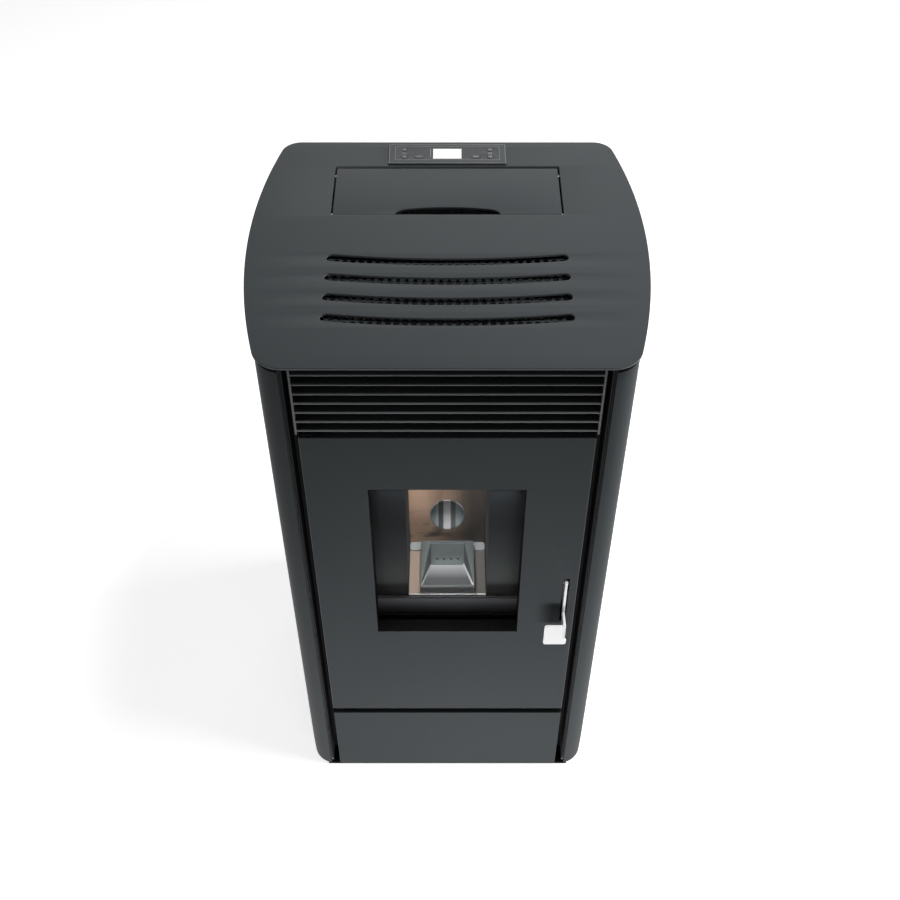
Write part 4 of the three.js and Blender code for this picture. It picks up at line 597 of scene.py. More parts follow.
def easedBlock(bm, low, high, edge=0.0, segments=2):
    low, high = Vector(low), Vector(high)
    place = Matrix.LocRotScale((low + high) / 2, None, high - low)
    corners = bmesh.ops.create_cube(bm, size=1, matrix=place)["verts"]
    if edge:
        edges = list({e for corner in corners for e in corner.link_edges})
        bmesh.ops.bevel(bm, geom=edges, offset=edge, segments=segments, affect="EDGES", profile=0.5)


# a profile of radius and height turned about the line from start to end
def turned(bm, start, end, profile, sides=48, closed=False):
    start, end = Vector(start), Vector(end)
    place = Matrix.Translation(start) @ (end - start).to_track_quat("Z", "Y").to_matrix().to_4x4()
    angles = [2 * math.pi * i / sides for i in range(sides)]
    rings = []
    for r, z in profile:
        spots = [(0, 0, z)] if r <= 1e-9 else [(r * math.cos(a), r * math.sin(a), z) for a in angles]
        rings.append([bm.verts.new(place @ Vector(spot)) for spot in spots])
    pairs = list(zip(rings, rings[1:])) + ([(rings[-1], rings[0])] if closed else [])
    for a, b in pairs:
        for i in range(sides):
            j = (i + 1) % sides
            corners = list(dict.fromkeys([a[i % len(a)], a[j % len(a)], b[j % len(b)], b[i % len(b)]]))
            if len(corners) > 2:
                bm.faces.new(corners)


# a round bar, or a tube with its bore, between two points
def roundBar(bm, start, end, radius, bore=0.0, sides=48, edge=0.0):
    length = (Vector(end) - Vector(start)).length
    ease = edge or 1e-7
    outer = [(radius - ease, 0), (radius, ease), (radius, length - ease), (radius - ease, length)]
    if bore:
        inner = [(bore + ease, length), (bore, length - ease), (bore, ease), (bore + ease, 0)]
        turned(bm, start, end, outer + inner, sides, closed=True)
    else:
        turned(bm, start, end, [(0, 0)] + outer + [(0, length)], sides)


def finishMesh(name, bm, degrees=32):
    bmesh.ops.remove_doubles(bm, verts=bm.verts, dist=2e-6)
    bmesh.ops.recalc_face_normals(bm, faces=bm.faces)
    return smoothFaces(addMesh(name, bm), degrees)


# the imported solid, merged into clean faces with its sharp edges eased
def refined(nodeName, pieceName, edge, segments=2, angle=35):
    bm = bmesh.new()
    bm.from_mesh(nodes[nodeName].data)
    bmesh.ops.remove_doubles(bm, verts=bm.verts, dist=1e-5)
    bmesh.ops.dissolve_limit(bm, angle_limit=math.radians(1), verts=bm.verts, edges=bm.edges)
    obj = addMesh(pieceName, bm)
    bevel = obj.modifiers.new("edge", "BEVEL")
    bevel.width = edge
    bevel.segments = segments
    bevel.limit_method = "ANGLE"
    bevel.angle_limit = math.radians(angle)
    bevel.use_clamp_overlap = True
    applyModifiers(obj)
    return smoothFaces(obj)


def joinPieces(name, pieces):
    bm = bmesh.new()
    for made in pieces:
        bm.from_mesh(made.data)
        bpy.data.objects.remove(made)
    return addMesh(name, bm)


# gives a finished piece its material, its body and the solids that it stands for
def dress(obj, *nodeNames, slot=None, body=None, material=None):
    first = nodeNames[0] if nodeNames else None
    slot = slot or slotOf[first]
    obj.data.materials.clear()
    obj.data.materials.append(material or finishFor[slot])
    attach(obj, body or bodyOf[first])
    if nodeNames:
        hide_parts(*nodeNames)
    return obj


# casing: top plate and side panels follow one bowed outline
topLow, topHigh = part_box("top_plate")
panelLow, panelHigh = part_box("side_panel_right")
casing = {
    "bowRadius": 860 * mm,
    "bowCentre": 9 * mm,
    "frontCorner": 40 * mm,
    "rearCorner": 28 * mm,
    "panelInset": 3.5 * mm,
    "sheet": 2 * mm,
    "foldX": 201.6 * mm,
    "seamProud": 0.15 * mm,
    "seamDepth": 4.6 * mm,
    "foldDepth": 14 * mm,
    "rearX": 206 * mm,
    "plateEdge": 0.7 * mm,
    "panelEdge": 0.5 * mm,
}
slots = {
    "count": 4,
    "halfLength": 158.5 * mm,
    "width": 14 * mm,
    "sag": 9 * mm,
    "pitch": 39.7 * mm,
    "first": 92.6 * mm,
}


def bowArcs(inset):
    radius = casing["bowRadius"] - inset
    centreX = topHigh.x - casing["bowRadius"]

    def corner(line, fillet, towards):
        r = fillet - inset
        y = line - towards * (inset + r)
        x = centreX + math.sqrt((radius - r) ** 2 - (y - casing["bowCentre"]) ** 2)
        return x, y, r, math.atan2(y - casing["bowCentre"], x - centreX)

    near = corner(topLow.y, casing["frontCorner"], -1)
    far = corner(topHigh.y, casing["rearCorner"], 1)
    return radius, centreX, near, far


def rightEdge(inset):
    radius, centreX, near, far = bowArcs(inset)
    return (arc(near[0], near[1], near[2], -math.pi / 2, near[3], 14)
            + arc(centreX, casing["bowCentre"], radius, near[3], far[3], 40)[1:]
            + arc(far[0], far[1], far[2], far[3], math.pi / 2, 12)[1:])


def slotOutline(endY):
    half = slots["width"] / 2
    reach = slots["halfLength"] - half
    radius = (reach ** 2 + slots["sag"] ** 2) / (2 * slots["sag"])
    centreY = endY - slots["sag"] + radius
    swing = math.asin(reach / radius)
    start, end = -math.pi / 2 - swing, -math.pi / 2 + swing
    ends = [(radius * math.cos(a), centreY + radius * math.sin(a)) for a in (start, end)]
    return (arc(0, centreY, radius + half, start, end, 40)
            + arc(*ends[1], half, end, end + math.pi, 10)[1:-1]
            + arc(0, centreY, radius - half, end, start, 40)
            + arc(*ends[0], half, start + math.pi, start + 2 * math.pi, 10)[1:-1])


lidLow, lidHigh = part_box("hopper_lid")
bezelLow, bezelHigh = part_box("control_bezel")
lidGap = {"side": 2.5 * mm, "front": 0.3 * mm, "rear": 4.6 * mm}
controlWell = 6 * mm


def makeTopPlate():
    right = rightEdge(0)
    outline = right + [(-x, y) for x, y in reversed(right)]
    holes = [slotOutline(topLow.y + slots["first"] + i * slots["pitch"]) for i in range(slots["count"])]
    holes.append(rectangle(lidLow.x - lidGap["side"], lidHigh.x + lidGap["side"], lidLow.y - lidGap["front"],
                           lidHigh.y + lidGap["rear"], 1 * mm, 3))
    holes.append(rectangle(bezelLow.x + controlWell, bezelHigh.x - controlWell,
                           bezelLow.y + 4 * mm, bezelHigh.y - 4 * mm))
    plate = cutSheet("topPlate", [outline] + holes, topLow.z, topHigh.z, casing["plateEdge"], 3)
    dress(plate, "top_plate", material=topPaint)


def makeSidePanels():
    outer = rightEdge(casing["panelInset"])
    inner = rightEdge(casing["panelInset"] + casing["sheet"])
    foldEnd = topLow.y + casing["panelInset"] + casing["foldDepth"]
    outer = [(casing["foldX"], foldEnd)] + [p for p in outer if p[0] > casing["foldX"] or p[1] > 0]
    inner = [p for p in inner if p[0] > casing["foldX"] + casing["sheet"] or p[1] > 0]
    inner = [(casing["foldX"] + casing["sheet"], foldEnd)] + inner
    rear = topHigh.y - casing["panelInset"]
    section = outer + [(casing["rearX"], rear), (casing["rearX"], rear - casing["sheet"])] + inner[::-1]
    for side, nodeName, pieceName in ((1, "side_panel_right", "sidePanelRight"),
                                      (-1, "side_panel_left", "sidePanelLeft")):
        outline = [(side * x, y) for x, y in section]
        panel = cutSheet(pieceName, [outline], panelLow.z, panelHigh.z, casing["panelEdge"])
        dress(panel, nodeName, material=panelPaint)


# a near-black strip along each side panel's top: painted shade for the gap under the top plate's edge
def makeShadeStrips():
    grown = casing["panelInset"] - casing["seamProud"]
    strip = casing["sheet"] - 0.3 * mm
    outer, inner = rightEdge(grown), rightEdge(grown + strip)
    outer = [p for p in outer if p[0] > casing["foldX"] + 2 * mm or p[1] > 0]
    inner = [p for p in inner if p[0] > casing["foldX"] + 2 * mm or p[1] > 0]
    for side, pieceName in ((1, "seamRight"), (-1, "seamLeft")):
        outline = [(side * x, y) for x, y in outer + inner[::-1]]
        shadeStrip = cutSheet(pieceName, [outline], panelHigh.z - casing["seamDepth"], panelHigh.z, 0.05 * mm)
        dress(shadeStrip, slot="black_steel", body="root", material=deepBlack)


makeTopPlate()
makeSidePanels()
makeShadeStrips()
print("casing sheets made")


# the perforated sheet seen through the slots: rows of one round-holed tile, every second row half a pitch on
outletLow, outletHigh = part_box("outlet_mesh")
perforations = {
    "pitch": 11 * mm,
    "rowPitch": 9.5 * mm,
    "holeRadius": 3.9 * mm,
    "holeSides": 16,
    "sheet": 1.2 * mm,
    "rim": 1.5 * mm,
}


def startTree(name, inputs):
    tree = bpy.data.node_groups.new(name, "GeometryNodeTree")
    tree.interface.new_socket("Geometry", in_out="OUTPUT", socket_type="NodeSocketGeometry")
    for title, value in inputs.items():
        kind = "NodeSocketInt" if isinstance(value, int) else "NodeSocketFloat"
        tree.interface.new_socket(title, in_out="INPUT", socket_type=kind).default_value = value
    return tree, addNode(tree, "NodeGroupInput").outputs


def endTree(tree, instances, finish):
    real = addNode(tree, "GeometryNodeRealizeInstances", {"Geometry": instances})
    painted = addNode(tree, "GeometryNodeSetMaterial", {
        "Geometry": real.outputs["Geometry"], "Material": finish})
    addNode(tree, "NodeGroupOutput", {0: painted.outputs["Geometry"]})
    return tree


def perforatedTree(finish):
    tree, given = startTree("perforatedSheet", {
        "Columns": 20, "Rows": 10, "Pitch": perforations["pitch"], "Row Pitch": perforations["rowPitch"],
        "Hole Radius": perforations["holeRadius"]})
    square = addNode(tree, "GeometryNodeCurvePrimitiveQuadrilateral", {
        "Width": given["Pitch"], "Height": given["Row Pitch"]})
    hole = addNode(tree, "GeometryNodeCurvePrimitiveCircle", {
        "Resolution": perforations["holeSides"], "Radius": given["Hole Radius"]})
    outlines = addNode(tree, "GeometryNodeJoinGeometry", {0: square.outputs["Curve"]})
    feed(tree, outlines, {0: hole.outputs["Curve"]})
    tile = addNode(tree, "GeometryNodeFillCurve", {"Curve": outlines.outputs[0]})
    step = addNode(tree, "ShaderNodeCombineXYZ", {"X": given["Pitch"]})
    row = addNode(tree, "GeometryNodeMeshLine", {"Count": given["Columns"], "Offset": step.outputs[0]})
    rise = addNode(tree, "ShaderNodeCombineXYZ", {"Y": given["Row Pitch"]})
    column = addNode(tree, "GeometryNodeMeshLine", {"Count": given["Rows"], "Offset": rise.outputs[0]})
    rowTiles = addNode(tree, "GeometryNodeInstanceOnPoints", {
        "Points": row.outputs["Mesh"], "Instance": tile.outputs["Mesh"]})
    rows = addNode(tree, "GeometryNodeInstanceOnPoints", {
        "Points": column.outputs["Mesh"], "Instance": rowTiles.outputs["Instances"]})
    odd = maths(tree, "MODULO", addNode(tree, "GeometryNodeInputIndex").outputs[0], 2)
    shift = maths(tree, "MULTIPLY", odd, maths(tree, "MULTIPLY", given["Pitch"], 0.5))
    sideways = addNode(tree, "ShaderNodeCombineXYZ", {"X": shift})
    staggered = addNode(tree, "GeometryNodeTranslateInstances", {
        "Instances": rows.outputs["Instances"], "Translation": sideways.outputs[0]})
    return endTree(tree, staggered.outputs["Instances"], finish)


def setTreeInput(modifier, name, value):
    socket = next(item for item in modifier.node_group.interface.items_tree
                  if item.item_type == "SOCKET" and item.in_out == "INPUT" and item.name == name)
    modifier[socket.identifier] = value


def makeOutletMesh():
    low, high, rim = outletLow, outletHigh, perforations["rim"]
    obj = addMesh("outletMesh", bmesh.new())
    modifier = obj.modifiers.new("perforated", "NODES")
    modifier.node_group = perforatedTree(finishFor["painted_steel"])
    columns = int((high.x - low.x - 2 * rim) / perforations["pitch"]) - 1
    rows = int((high.y - low.y - 2 * rim) / perforations["rowPitch"])
    setTreeInput(modifier, "Columns", columns)
    setTreeInput(modifier, "Rows", rows)
    thick = obj.modifiers.new("thickness", "SOLIDIFY")
    thick.thickness = perforations["sheet"]
    applyModifiers(obj)
    spanX = (columns - 0.5) * perforations["pitch"]
    spanY = (rows - 1) * perforations["rowPitch"]
    level = low.z + rim
    obj.data.transform(Matrix.Translation((-spanX / 2, (low.y + high.y - spanY) / 2, level)))
    bm = bmesh.new()
    bm.from_mesh(obj.data)
    edgeX = spanX / 2 + perforations["pitch"] / 2
    edgeY = spanY / 2 + perforations["rowPitch"] / 2
    middleY = (low.y + high.y) / 2
    flats = [(low.x, -edgeX, low.y, high.y), (edgeX, high.x, low.y, high.y),
             (low.x, high.x, low.y, middleY - edgeY), (low.x, high.x, middleY + edgeY, high.y)]
    walls = [(low.x, low.x + rim, low.y, high.y), (high.x - rim, high.x, low.y, high.y),
             (low.x, high.x, low.y, low.y + rim), (low.x, high.x, high.y - rim, high.y)]
    for strips, top in ((flats, level), (walls, high.z)):
        for x0, x1, y0, y1 in strips:
            easedBlock(bm, (x0, y0, low.z), (x1, y1, top))
    bm.to_mesh(obj.data)
    bm.free()
    dress(obj, "outlet_mesh")


makeOutletMesh()
print("perforated sheet made")


# hopper lid: a notched plate in its opening, with two knuckles on the hinge rod
hopperLid = {
    "notchHalfWidth": 72 * mm,
    "notchDepth": 16.5 * mm,
    "notchRadius": 9 * mm,
    "edge": 0.8 * mm,
    "axisInset": 12 * mm,
    "axisDrop": 2.3 * mm,
    "knuckleRadius": 3.4 * mm,
    "knuckleBore": 2.1 * mm,
    "knuckleOuter": 6 * mm,
    "knuckleInner": 30 * mm,
}


def makeHopperLid():
    x, y0, y1 = lidHigh.x, lidLow.y, lidHigh.y
    half, deep, round9 = hopperLid["notchHalfWidth"], hopperLid["notchDepth"], hopperLid["notchRadius"]
    inner = (half - 2 * round9, y0 + deep - 4 * mm)
    shoulder = (half - 1 * mm, y0 + deep * 0.62)
    notch = (quadratic((-half, y0), (-shoulder[0], shoulder[1]), (-inner[0], inner[1]))
             + quadratic((-inner[0], inner[1]), (0, y0 + deep + 4 * mm), inner, 24)[1:]
             + quadratic(inner, shoulder, (half, y0))[1:])
    outline = [(-x, y0)] + notch + [(x, y0), (x, y1), (-x, y1)]
    lid = cutSheet("hopperLidPlate", [outline], topLow.z, topHigh.z, hopperLid["edge"], 3)
    bm = bmesh.new()
    axisY, axisZ = y1 - hopperLid["axisInset"], topLow.z - hopperLid["axisDrop"]
    for side in (-1, 1):
        near, far = side * (x - hopperLid["knuckleInner"]), side * (x - hopperLid["knuckleOuter"])
        roundBar(bm, (near, axisY, axisZ), (far, axisY, axisZ), hopperLid["knuckleRadius"],
                 hopperLid["knuckleBore"], 32, 0.3 * mm)
    knuckles = finishMesh("lidKnuckles", bm)
    dress(smoothFaces(joinPieces("hopperLid", [lid, knuckles])), "hopper_lid")


makeHopperLid()


# control panel: bezel with its window and keys, and generic marks printed on it
controlPanel = {
    "windowGap": 0.3 * mm,
    "bezelEdge": 0.5 * mm,
    "bezelCorner": 1.2 * mm,
    "ovalHalf": (7 * mm, 3.6 * mm),
    "roundRadius": 4 * mm,
    "keyFlange": 0.9 * mm,
    "keyEdge": 0.35 * mm,
    "inlay": 0.12 * mm,
    "outlineInset": 0.5 * mm,
    "outlineWidth": 0.7 * mm,
    "frameHalfWidth": 75 * mm,
    "frameFront": 9 * mm,
    "frameRear": 5.2 * mm,
    "frameWidth": 0.55 * mm,
    "barX": -24.5 * mm,
}
keyNames = ["key_left_up", "key_left_down", "key_left_oval",
            "key_right_oval", "key_right_up", "key_right_down"]


def keyMiddle(nodeName):
    low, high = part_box(nodeName)
    return (low.x + high.x) / 2, (low.y + high.y) / 2


def keyHalves(nodeName):
    radius = controlPanel["roundRadius"]
    return controlPanel["ovalHalf"] if nodeName.endswith("oval") else (radius, radius)


def ellipse(cx, cy, halfX, halfY, steps=40):
    return [(cx + halfX * x, cy + halfY * y) for x, y in arc(0, 0, 1, 0, 2 * math.pi, steps)[:-1]]


def makeBezel():
    low, high = bezelLow, bezelHigh
    windowLow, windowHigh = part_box("display_window")
    gap = controlPanel["windowGap"]
    holes = [rectangle(windowLow.x - gap, windowHigh.x + gap, windowLow.y - gap, windowHigh.y + gap)]
    for key in keyNames:
        halfX, halfY = keyHalves(key)
        holes.append(ellipse(*keyMiddle(key), halfX + gap, halfY + gap))
    outline = rectangle(low.x, high.x, low.y, high.y, controlPanel["bezelCorner"], 4)
    bezel = cutSheet("controlBezel", [outline] + holes, low.z, high.z, controlPanel["bezelEdge"], 3)
    dress(bezel, "control_bezel", material=panelFilm)


def inlaySheet(name, outlines, top):
    inlay = controlPanel["inlay"]
    return cutSheet(name, outlines, top - inlay, top + inlay, inlay / 3, 1)


def makePanelLines():
    low, high = bezelLow, bezelHigh
    inset, width = controlPanel["outlineInset"], controlPanel["outlineWidth"]
    frameX, line = controlPanel["frameHalfWidth"], controlPanel["frameWidth"]
    y0, y1 = low.y + controlPanel["frameFront"], high.y - controlPanel["frameRear"]
    x0, x1, z = low.x + inset, high.x - inset, high.z
    edgeRing = inlaySheet("edgeRing", [rectangle(x0, x1, low.y + inset, high.y - inset, 1 * mm, 4),
                                       rectangle(x0 + width, x1 - width, low.y + inset + width,
                                                 high.y - inset - width, 0.6 * mm, 4)], z)
    frameRing = inlaySheet("frameRing", [rectangle(-frameX, frameX, y0, y1),
                                         rectangle(-frameX + line, frameX - line, y0 + line, y1 - line)], z)
    barX = controlPanel["barX"]
    bar = inlaySheet("levelBar", [rectangle(barX, barX + 1 * mm, y0 + 6 * mm, y1 - 7 * mm)], z)
    lines = joinPieces("panelLines", [edgeRing, frameRing, bar])
    dress(lines, slot="key_plastic", body="root", material=paleLine)


def chevron(cx, cy, size, way):
    arm, thick = size, size * 0.45
    return [(cx - arm, cy - way * arm * 0.5), (cx, cy + way * arm * 0.5), (cx + arm, cy - way * arm * 0.5),
            (cx + arm, cy - way * (arm * 0.5 + thick)), (cx, cy + way * (arm * 0.5 - thick)),
            (cx - arm, cy - way * (arm * 0.5 + thick))]


def makeKeys():
    edge, inlay = controlPanel["keyEdge"], controlPanel["inlay"]
    for nodeName in keyNames:
        low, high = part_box(nodeName)
        (cx, cy), (halfX, halfY) = keyMiddle(nodeName), keyHalves(nodeName)
        grow = controlPanel["keyFlange"]
        words = nodeName.split("_")
        cap = cutSheet("keyCap", [ellipse(cx, cy, halfX, halfY)], low.z + 0.4 * mm, high.z - inlay, edge, 3)
        flange = cutSheet("keyFlange", [ellipse(cx, cy, halfX + grow, halfY + grow)], low.z, low.z + 1 * mm,
                          0.2 * mm)
        body = "_".join(words[1:])
        title = words[1] + words[2].capitalize()
        dress(smoothFaces(joinPieces(title + "Key", [cap, flange])), nodeName)
        if words[2] == "oval":
            outlines = [rectangle(cx - 2.6 * mm + i * 2.4 * mm, cx - 1.9 * mm + i * 2.4 * mm, cy - 1.5 * mm,
                                  cy + 1.5 * mm) for i in range(3)]
        else:
            outlines = [chevron(cx, cy, 2.2 * mm, 1 if words[2] == "up" else -1)]
        mark = joinPieces(title + "Mark", [inlaySheet("mark", [o], high.z - inlay) for o in outlines])
        bright = words[1] == "right"
        dress(mark, slot="key_plastic", body=body, material=printedMark if bright else paleLine)


def makeKeyRings():
    displayLow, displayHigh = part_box("display_window")
    cy = (displayLow.y + displayHigh.y) / 2
    for side, title, material in ((-1, "left", paleLine), (1, "right", printedMark)):
        cx = keyMiddle("key_right_up")[0] * side
        ring = inlaySheet("ring", [ellipse(cx, cy, 2.6 * mm, 2.6 * mm), ellipse(cx, cy, 1.9 * mm, 1.9 * mm)],
                          bezelHigh.z)
        dress(joinPieces(title + "KeyRing", [ring]), slot="key_plastic", body="root", material=material)


makeBezel()
makePanelLines()
makeKeys()
makeKeyRings()
print("lid and control panel made")


# door: a folded sheet with a window opening and the handle's slot, and a near-black reveal behind the
# opening, painted shade
doorLow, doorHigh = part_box("door_panel")
door = {
    "sheet": 2 * mm,
    "edge": 0.8 * mm,
    "windowHalfWidth": 105.5 * mm,
    "windowBottom": 408 * mm,
    "windowTop": 736 * mm,
    "slotX": 172.5 * mm,
    "slotHalf": 4.5 * mm,
    "slotBottom": 437 * mm,
    "slotTop": 541 * mm,
    "slack": 0.04 * mm,
}


def makeDoorPanel():
    sheet, slack, edge = door["sheet"], door["slack"], door["edge"]
    half = door["windowHalfWidth"]
    window = rectangle(-half, half, door["windowBottom"], door["windowTop"])
    slot = rectangle(door["slotX"] - door["slotHalf"], door["slotX"] + door["slotHalf"],
                     door["slotBottom"], door["slotTop"], 2 * mm, 3)
    face = uprightSheet("doorFace", [rectangle(doorLow.x, doorHigh.x, doorLow.z, doorHigh.z, 1 * mm, 3),
                                     window, slot], doorLow.y, doorLow.y + sheet, edge, 3)
    sides = rectangle(doorLow.x + slack, doorHigh.x - slack, doorLow.z + slack, doorHigh.z - slack)
    inside = rectangle(doorLow.x + sheet, doorHigh.x - sheet, doorLow.z + sheet, doorHigh.z - sheet)
    fold = uprightSheet("doorFold", [sides, inside], doorLow.y + edge, doorHigh.y, 0.3 * mm)
    dress(smoothFaces(joinPieces("doorPanel", [face, fold])), "door_panel", material=doorPaint)


def makeWindowReveal():
    x, z0, z1 = door["windowHalfWidth"], door["windowBottom"], door["windowTop"]
    out, slack = door["sheet"], door["slack"]
    outlines = [rectangle(-x - out, x + out, z0 - out, z1 + out),
                rectangle(-x + slack, x - slack, z0 + slack, z1 - slack)]
    reveal = uprightSheet("windowReveal", outlines, doorLow.y + door["edge"], doorHigh.y, 0.2 * mm, 1)
    dress(reveal, slot="black_steel", body="door", material=deepBlack)


makeDoorPanel()
makeWindowReveal()


# handle: one bent sheet, a rounded grip in front and a fin that goes through the door to its hook
handleLow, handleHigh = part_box("door_handle")
handle = {
    "fin": 4 * mm,
    "finX": 172.5 * mm,
    "gripWidth": 31.6 * mm,
    "gripSheet": 3 * mm,
    "gripBottom": 420 * mm,
    "gripTop": 467 * mm,
    "gripCorner": 4 * mm,
    "reliefRise": 15 * mm,
    "reliefRadius": 2.2 * mm,
    "edge": 0.9 * mm,
    "gripEdge": 1.2 * mm,
    "lobe": 2.4 * mm,
    "stripProud": 3.2 * mm,
    "armTop": 463 * mm,
    "throatFront": 446 * mm,
    "throatRear": 458 * mm,
    "slit": 5.5 * mm,
    "pinRadius": 3 * mm,
    "pinHalf": 8 * mm,
    "pinHeight": 515 * mm,
    "pinBack": 14 * mm,
}


def makeHandle():
    front = handleLow.y
    face = doorLow.y
    leverY = face + handle["pinBack"]
    pinZ = handle["pinHeight"]
    hookY, hookTop = handleHigh.y, pinZ + 6.5 * mm
    x0, x1 = handle["finX"] - handle["fin"] / 2, handle["finX"] + handle["fin"] / 2
    bottom, top = handle["gripBottom"], handle["gripTop"]
    back = front + handle["gripSheet"]
    strip = face - handle["stripProud"]
    outline = [(front, bottom + 20 * mm), (front + 6 * mm, bottom + 14 * mm),
               (back + 8 * mm, bottom + 18 * mm), (face - 3 * mm, handle["throatFront"]),
               (face + 4 * mm, handle["throatRear"]), (leverY + 4 * mm, pinZ - 22 * mm),
               (hookY, pinZ - 8 * mm), (hookY, hookTop), (hookY - 3 * mm, hookTop),
               (hookY - 3 * mm, hookTop - 7 * mm), (leverY + 6 * mm, hookTop - 6 * mm),
               (leverY + 6 * mm, pinZ + 11 * mm), (leverY, pinZ + 19 * mm),
               (strip + 1.5 * mm, pinZ + 21 * mm), (strip, pinZ + 19.5 * mm), (strip, pinZ + 14 * mm),
               (strip + 0.9 * mm, pinZ + 12 * mm), (strip, pinZ + 10 * mm), (strip, handle["armTop"]),
               (front + 3 * mm, top - 1 * mm), (front, top - 3 * mm)]
    fin = acrossSheet("handleFin", [outline], x0, x1, handle["edge"], 3)
    left, r = x1 - handle["gripWidth"], handle["gripCorner"]
    reliefZ, bite = bottom + handle["reliefRise"], handle["reliefRadius"]
    half = math.pi / 2
    lobe = x1 + handle["lobe"]
    grip = (arc(lobe - r, bottom + r, r, -half, 0, 8) + arc(lobe - r, reliefZ - 2 * bite, r, 0, half, 8)
            + [(x1 - handle["slit"], reliefZ), (x1, reliefZ + bite), (x1, top)]
            + arc(left + r, top - r, r, half, 2 * half, 8)
            + arc(left + r, bottom + r, r, 2 * half, 3 * half, 8))
    plate = uprightSheet("handleGrip", [grip], front, back, handle["gripEdge"], 4)
    bm = bmesh.new()
    reach = handle["pinHalf"]
    roundBar(bm, (handle["finX"] - reach, leverY, pinZ), (handle["finX"] + reach, leverY, pinZ),
             handle["pinRadius"], 0, 32, 0.4 * mm)
    pin = finishMesh("handlePin", bm)
    dress(smoothFaces(joinPieces("doorHandle", [plate, fin, pin])), "door_handle", material=gripSteel)


makeHandle()
print("door and handle made")


# warm-air grille: a row of tilted slats between two cheeks
grilleLow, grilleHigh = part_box("louvre_grille")
louvre = {
    "slats": 7,
    "pitch": 16 * mm,
    "lowest": 851.6 * mm,
    "thickness": 2.2 * mm,
    "depth": 18 * mm,
    "tilt": 12,
    "cheek": 2.5 * mm,
    "nose": 0.7 * mm,
    "noseSteps": 3,
    "length": 380 * mm,
}


def louvreTree(finish):
    tree, given = startTree("louvreSlats", {
        "Slats": louvre["slats"], "Pitch": louvre["pitch"], "Length": louvre["length"],
        "Depth": louvre["depth"], "Thickness": louvre["thickness"], "Nose Radius": louvre["nose"],
        "Tilt": math.radians(louvre["tilt"])})
    section = addNode(tree, "GeometryNodeCurvePrimitiveQuadrilateral", {
        "Width": given["Depth"], "Height": given["Thickness"]})
    eased = addNode(tree, "GeometryNodeFilletCurve", {
        "Curve": section.outputs["Curve"], "Count": louvre["noseSteps"], "Limit Radius": True,
        "Radius": given["Nose Radius"]}, mode="POLY")
    reach = addNode(tree, "ShaderNodeCombineXYZ", {"X": given["Length"]})
    end = addNode(tree, "ShaderNodeVectorMath", {0: reach.outputs[0], "Scale": 0.5}, operation="SCALE")
    start = addNode(tree, "ShaderNodeVectorMath", {0: end.outputs[0], "Scale": -1}, operation="SCALE")
    line = addNode(tree, "GeometryNodeCurvePrimitiveLine", {"Start": start.outputs[0], "End": end.outputs[0]})
    slat = addNode(tree, "GeometryNodeCurveToMesh", {
        "Curve": line.outputs["Curve"], "Profile Curve": eased.outputs["Curve"], "Fill Caps": True})
    turn = addNode(tree, "ShaderNodeCombineXYZ", {"X": given["Tilt"]})
    posed = addNode(tree, "GeometryNodeTransform", {
        "Geometry": slat.outputs["Mesh"], "Rotation": turn.outputs[0]})
    rise = addNode(tree, "ShaderNodeCombineXYZ", {"Z": given["Pitch"]})
    stack = addNode(tree, "GeometryNodeMeshLine", {"Count": given["Slats"], "Offset": rise.outputs[0]})
    placed = addNode(tree, "GeometryNodeInstanceOnPoints", {
        "Points": stack.outputs["Mesh"], "Instance": posed.outputs["Geometry"]})
    return endTree(tree, placed.outputs["Instances"], finish)


def makeLouvre():
    obj = addMesh("slats", bmesh.new())
    modifier = obj.modifiers.new("slats", "NODES")
    modifier.node_group = louvreTree(slatPaint)
    setTreeInput(modifier, "Length", grilleHigh.x - grilleLow.x - louvre["cheek"])
    applyModifiers(obj)
    middleY = grilleLow.y + louvre["depth"] / 2
    drop = louvre["depth"] / 2 * math.tan(math.radians(louvre["tilt"]))
    obj.data.transform(Matrix.Translation((0, middleY, louvre["lowest"] - drop)))
    bm = bmesh.new()
    bm.from_mesh(obj.data)
    bpy.data.objects.remove(obj)
    cheek = louvre["cheek"]
    for x0, x1 in ((grilleLow.x, grilleLow.x + cheek), (grilleHigh.x - cheek, grilleHigh.x)):
        easedBlock(bm, (x0, grilleLow.y, grilleLow.z), (x1, grilleHigh.y, grilleHigh.z), 0.5 * mm)
    dress(finishMesh("louvreGrille", bm), "louvre_grille", material=slatPaint)


lowerPanel = {"depth": 21 * mm, "bottomLip": 0.6 * mm, "foldEdge": 0.25 * mm}


def makeLowerPanel():
    low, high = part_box("lower_front_panel")
    sheet, slack, edge = door["sheet"], door["slack"], door["edge"]
    face = uprightSheet("lowerFace", [rectangle(low.x, high.x, low.z, high.z, 1 * mm, 3)],
                        low.y, low.y + sheet, edge, 3)
    rear = low.y + lowerPanel["depth"]
    outer = rectangle(low.x + slack, high.x - slack, low.z + slack, high.z - slack)
    inner = rectangle(low.x + sheet, high.x - sheet, low.z + lowerPanel["bottomLip"], high.z - sheet)
    fold = uprightSheet("lowerFold", [outer, inner], low.y + edge, rear, lowerPanel["foldEdge"], 1)
    dress(smoothFaces(joinPieces("lowerFrontPanel", [face, fold])), "lower_front_panel")


makeLouvre()
makeLowerPanel()
print("grille and lower panel made")


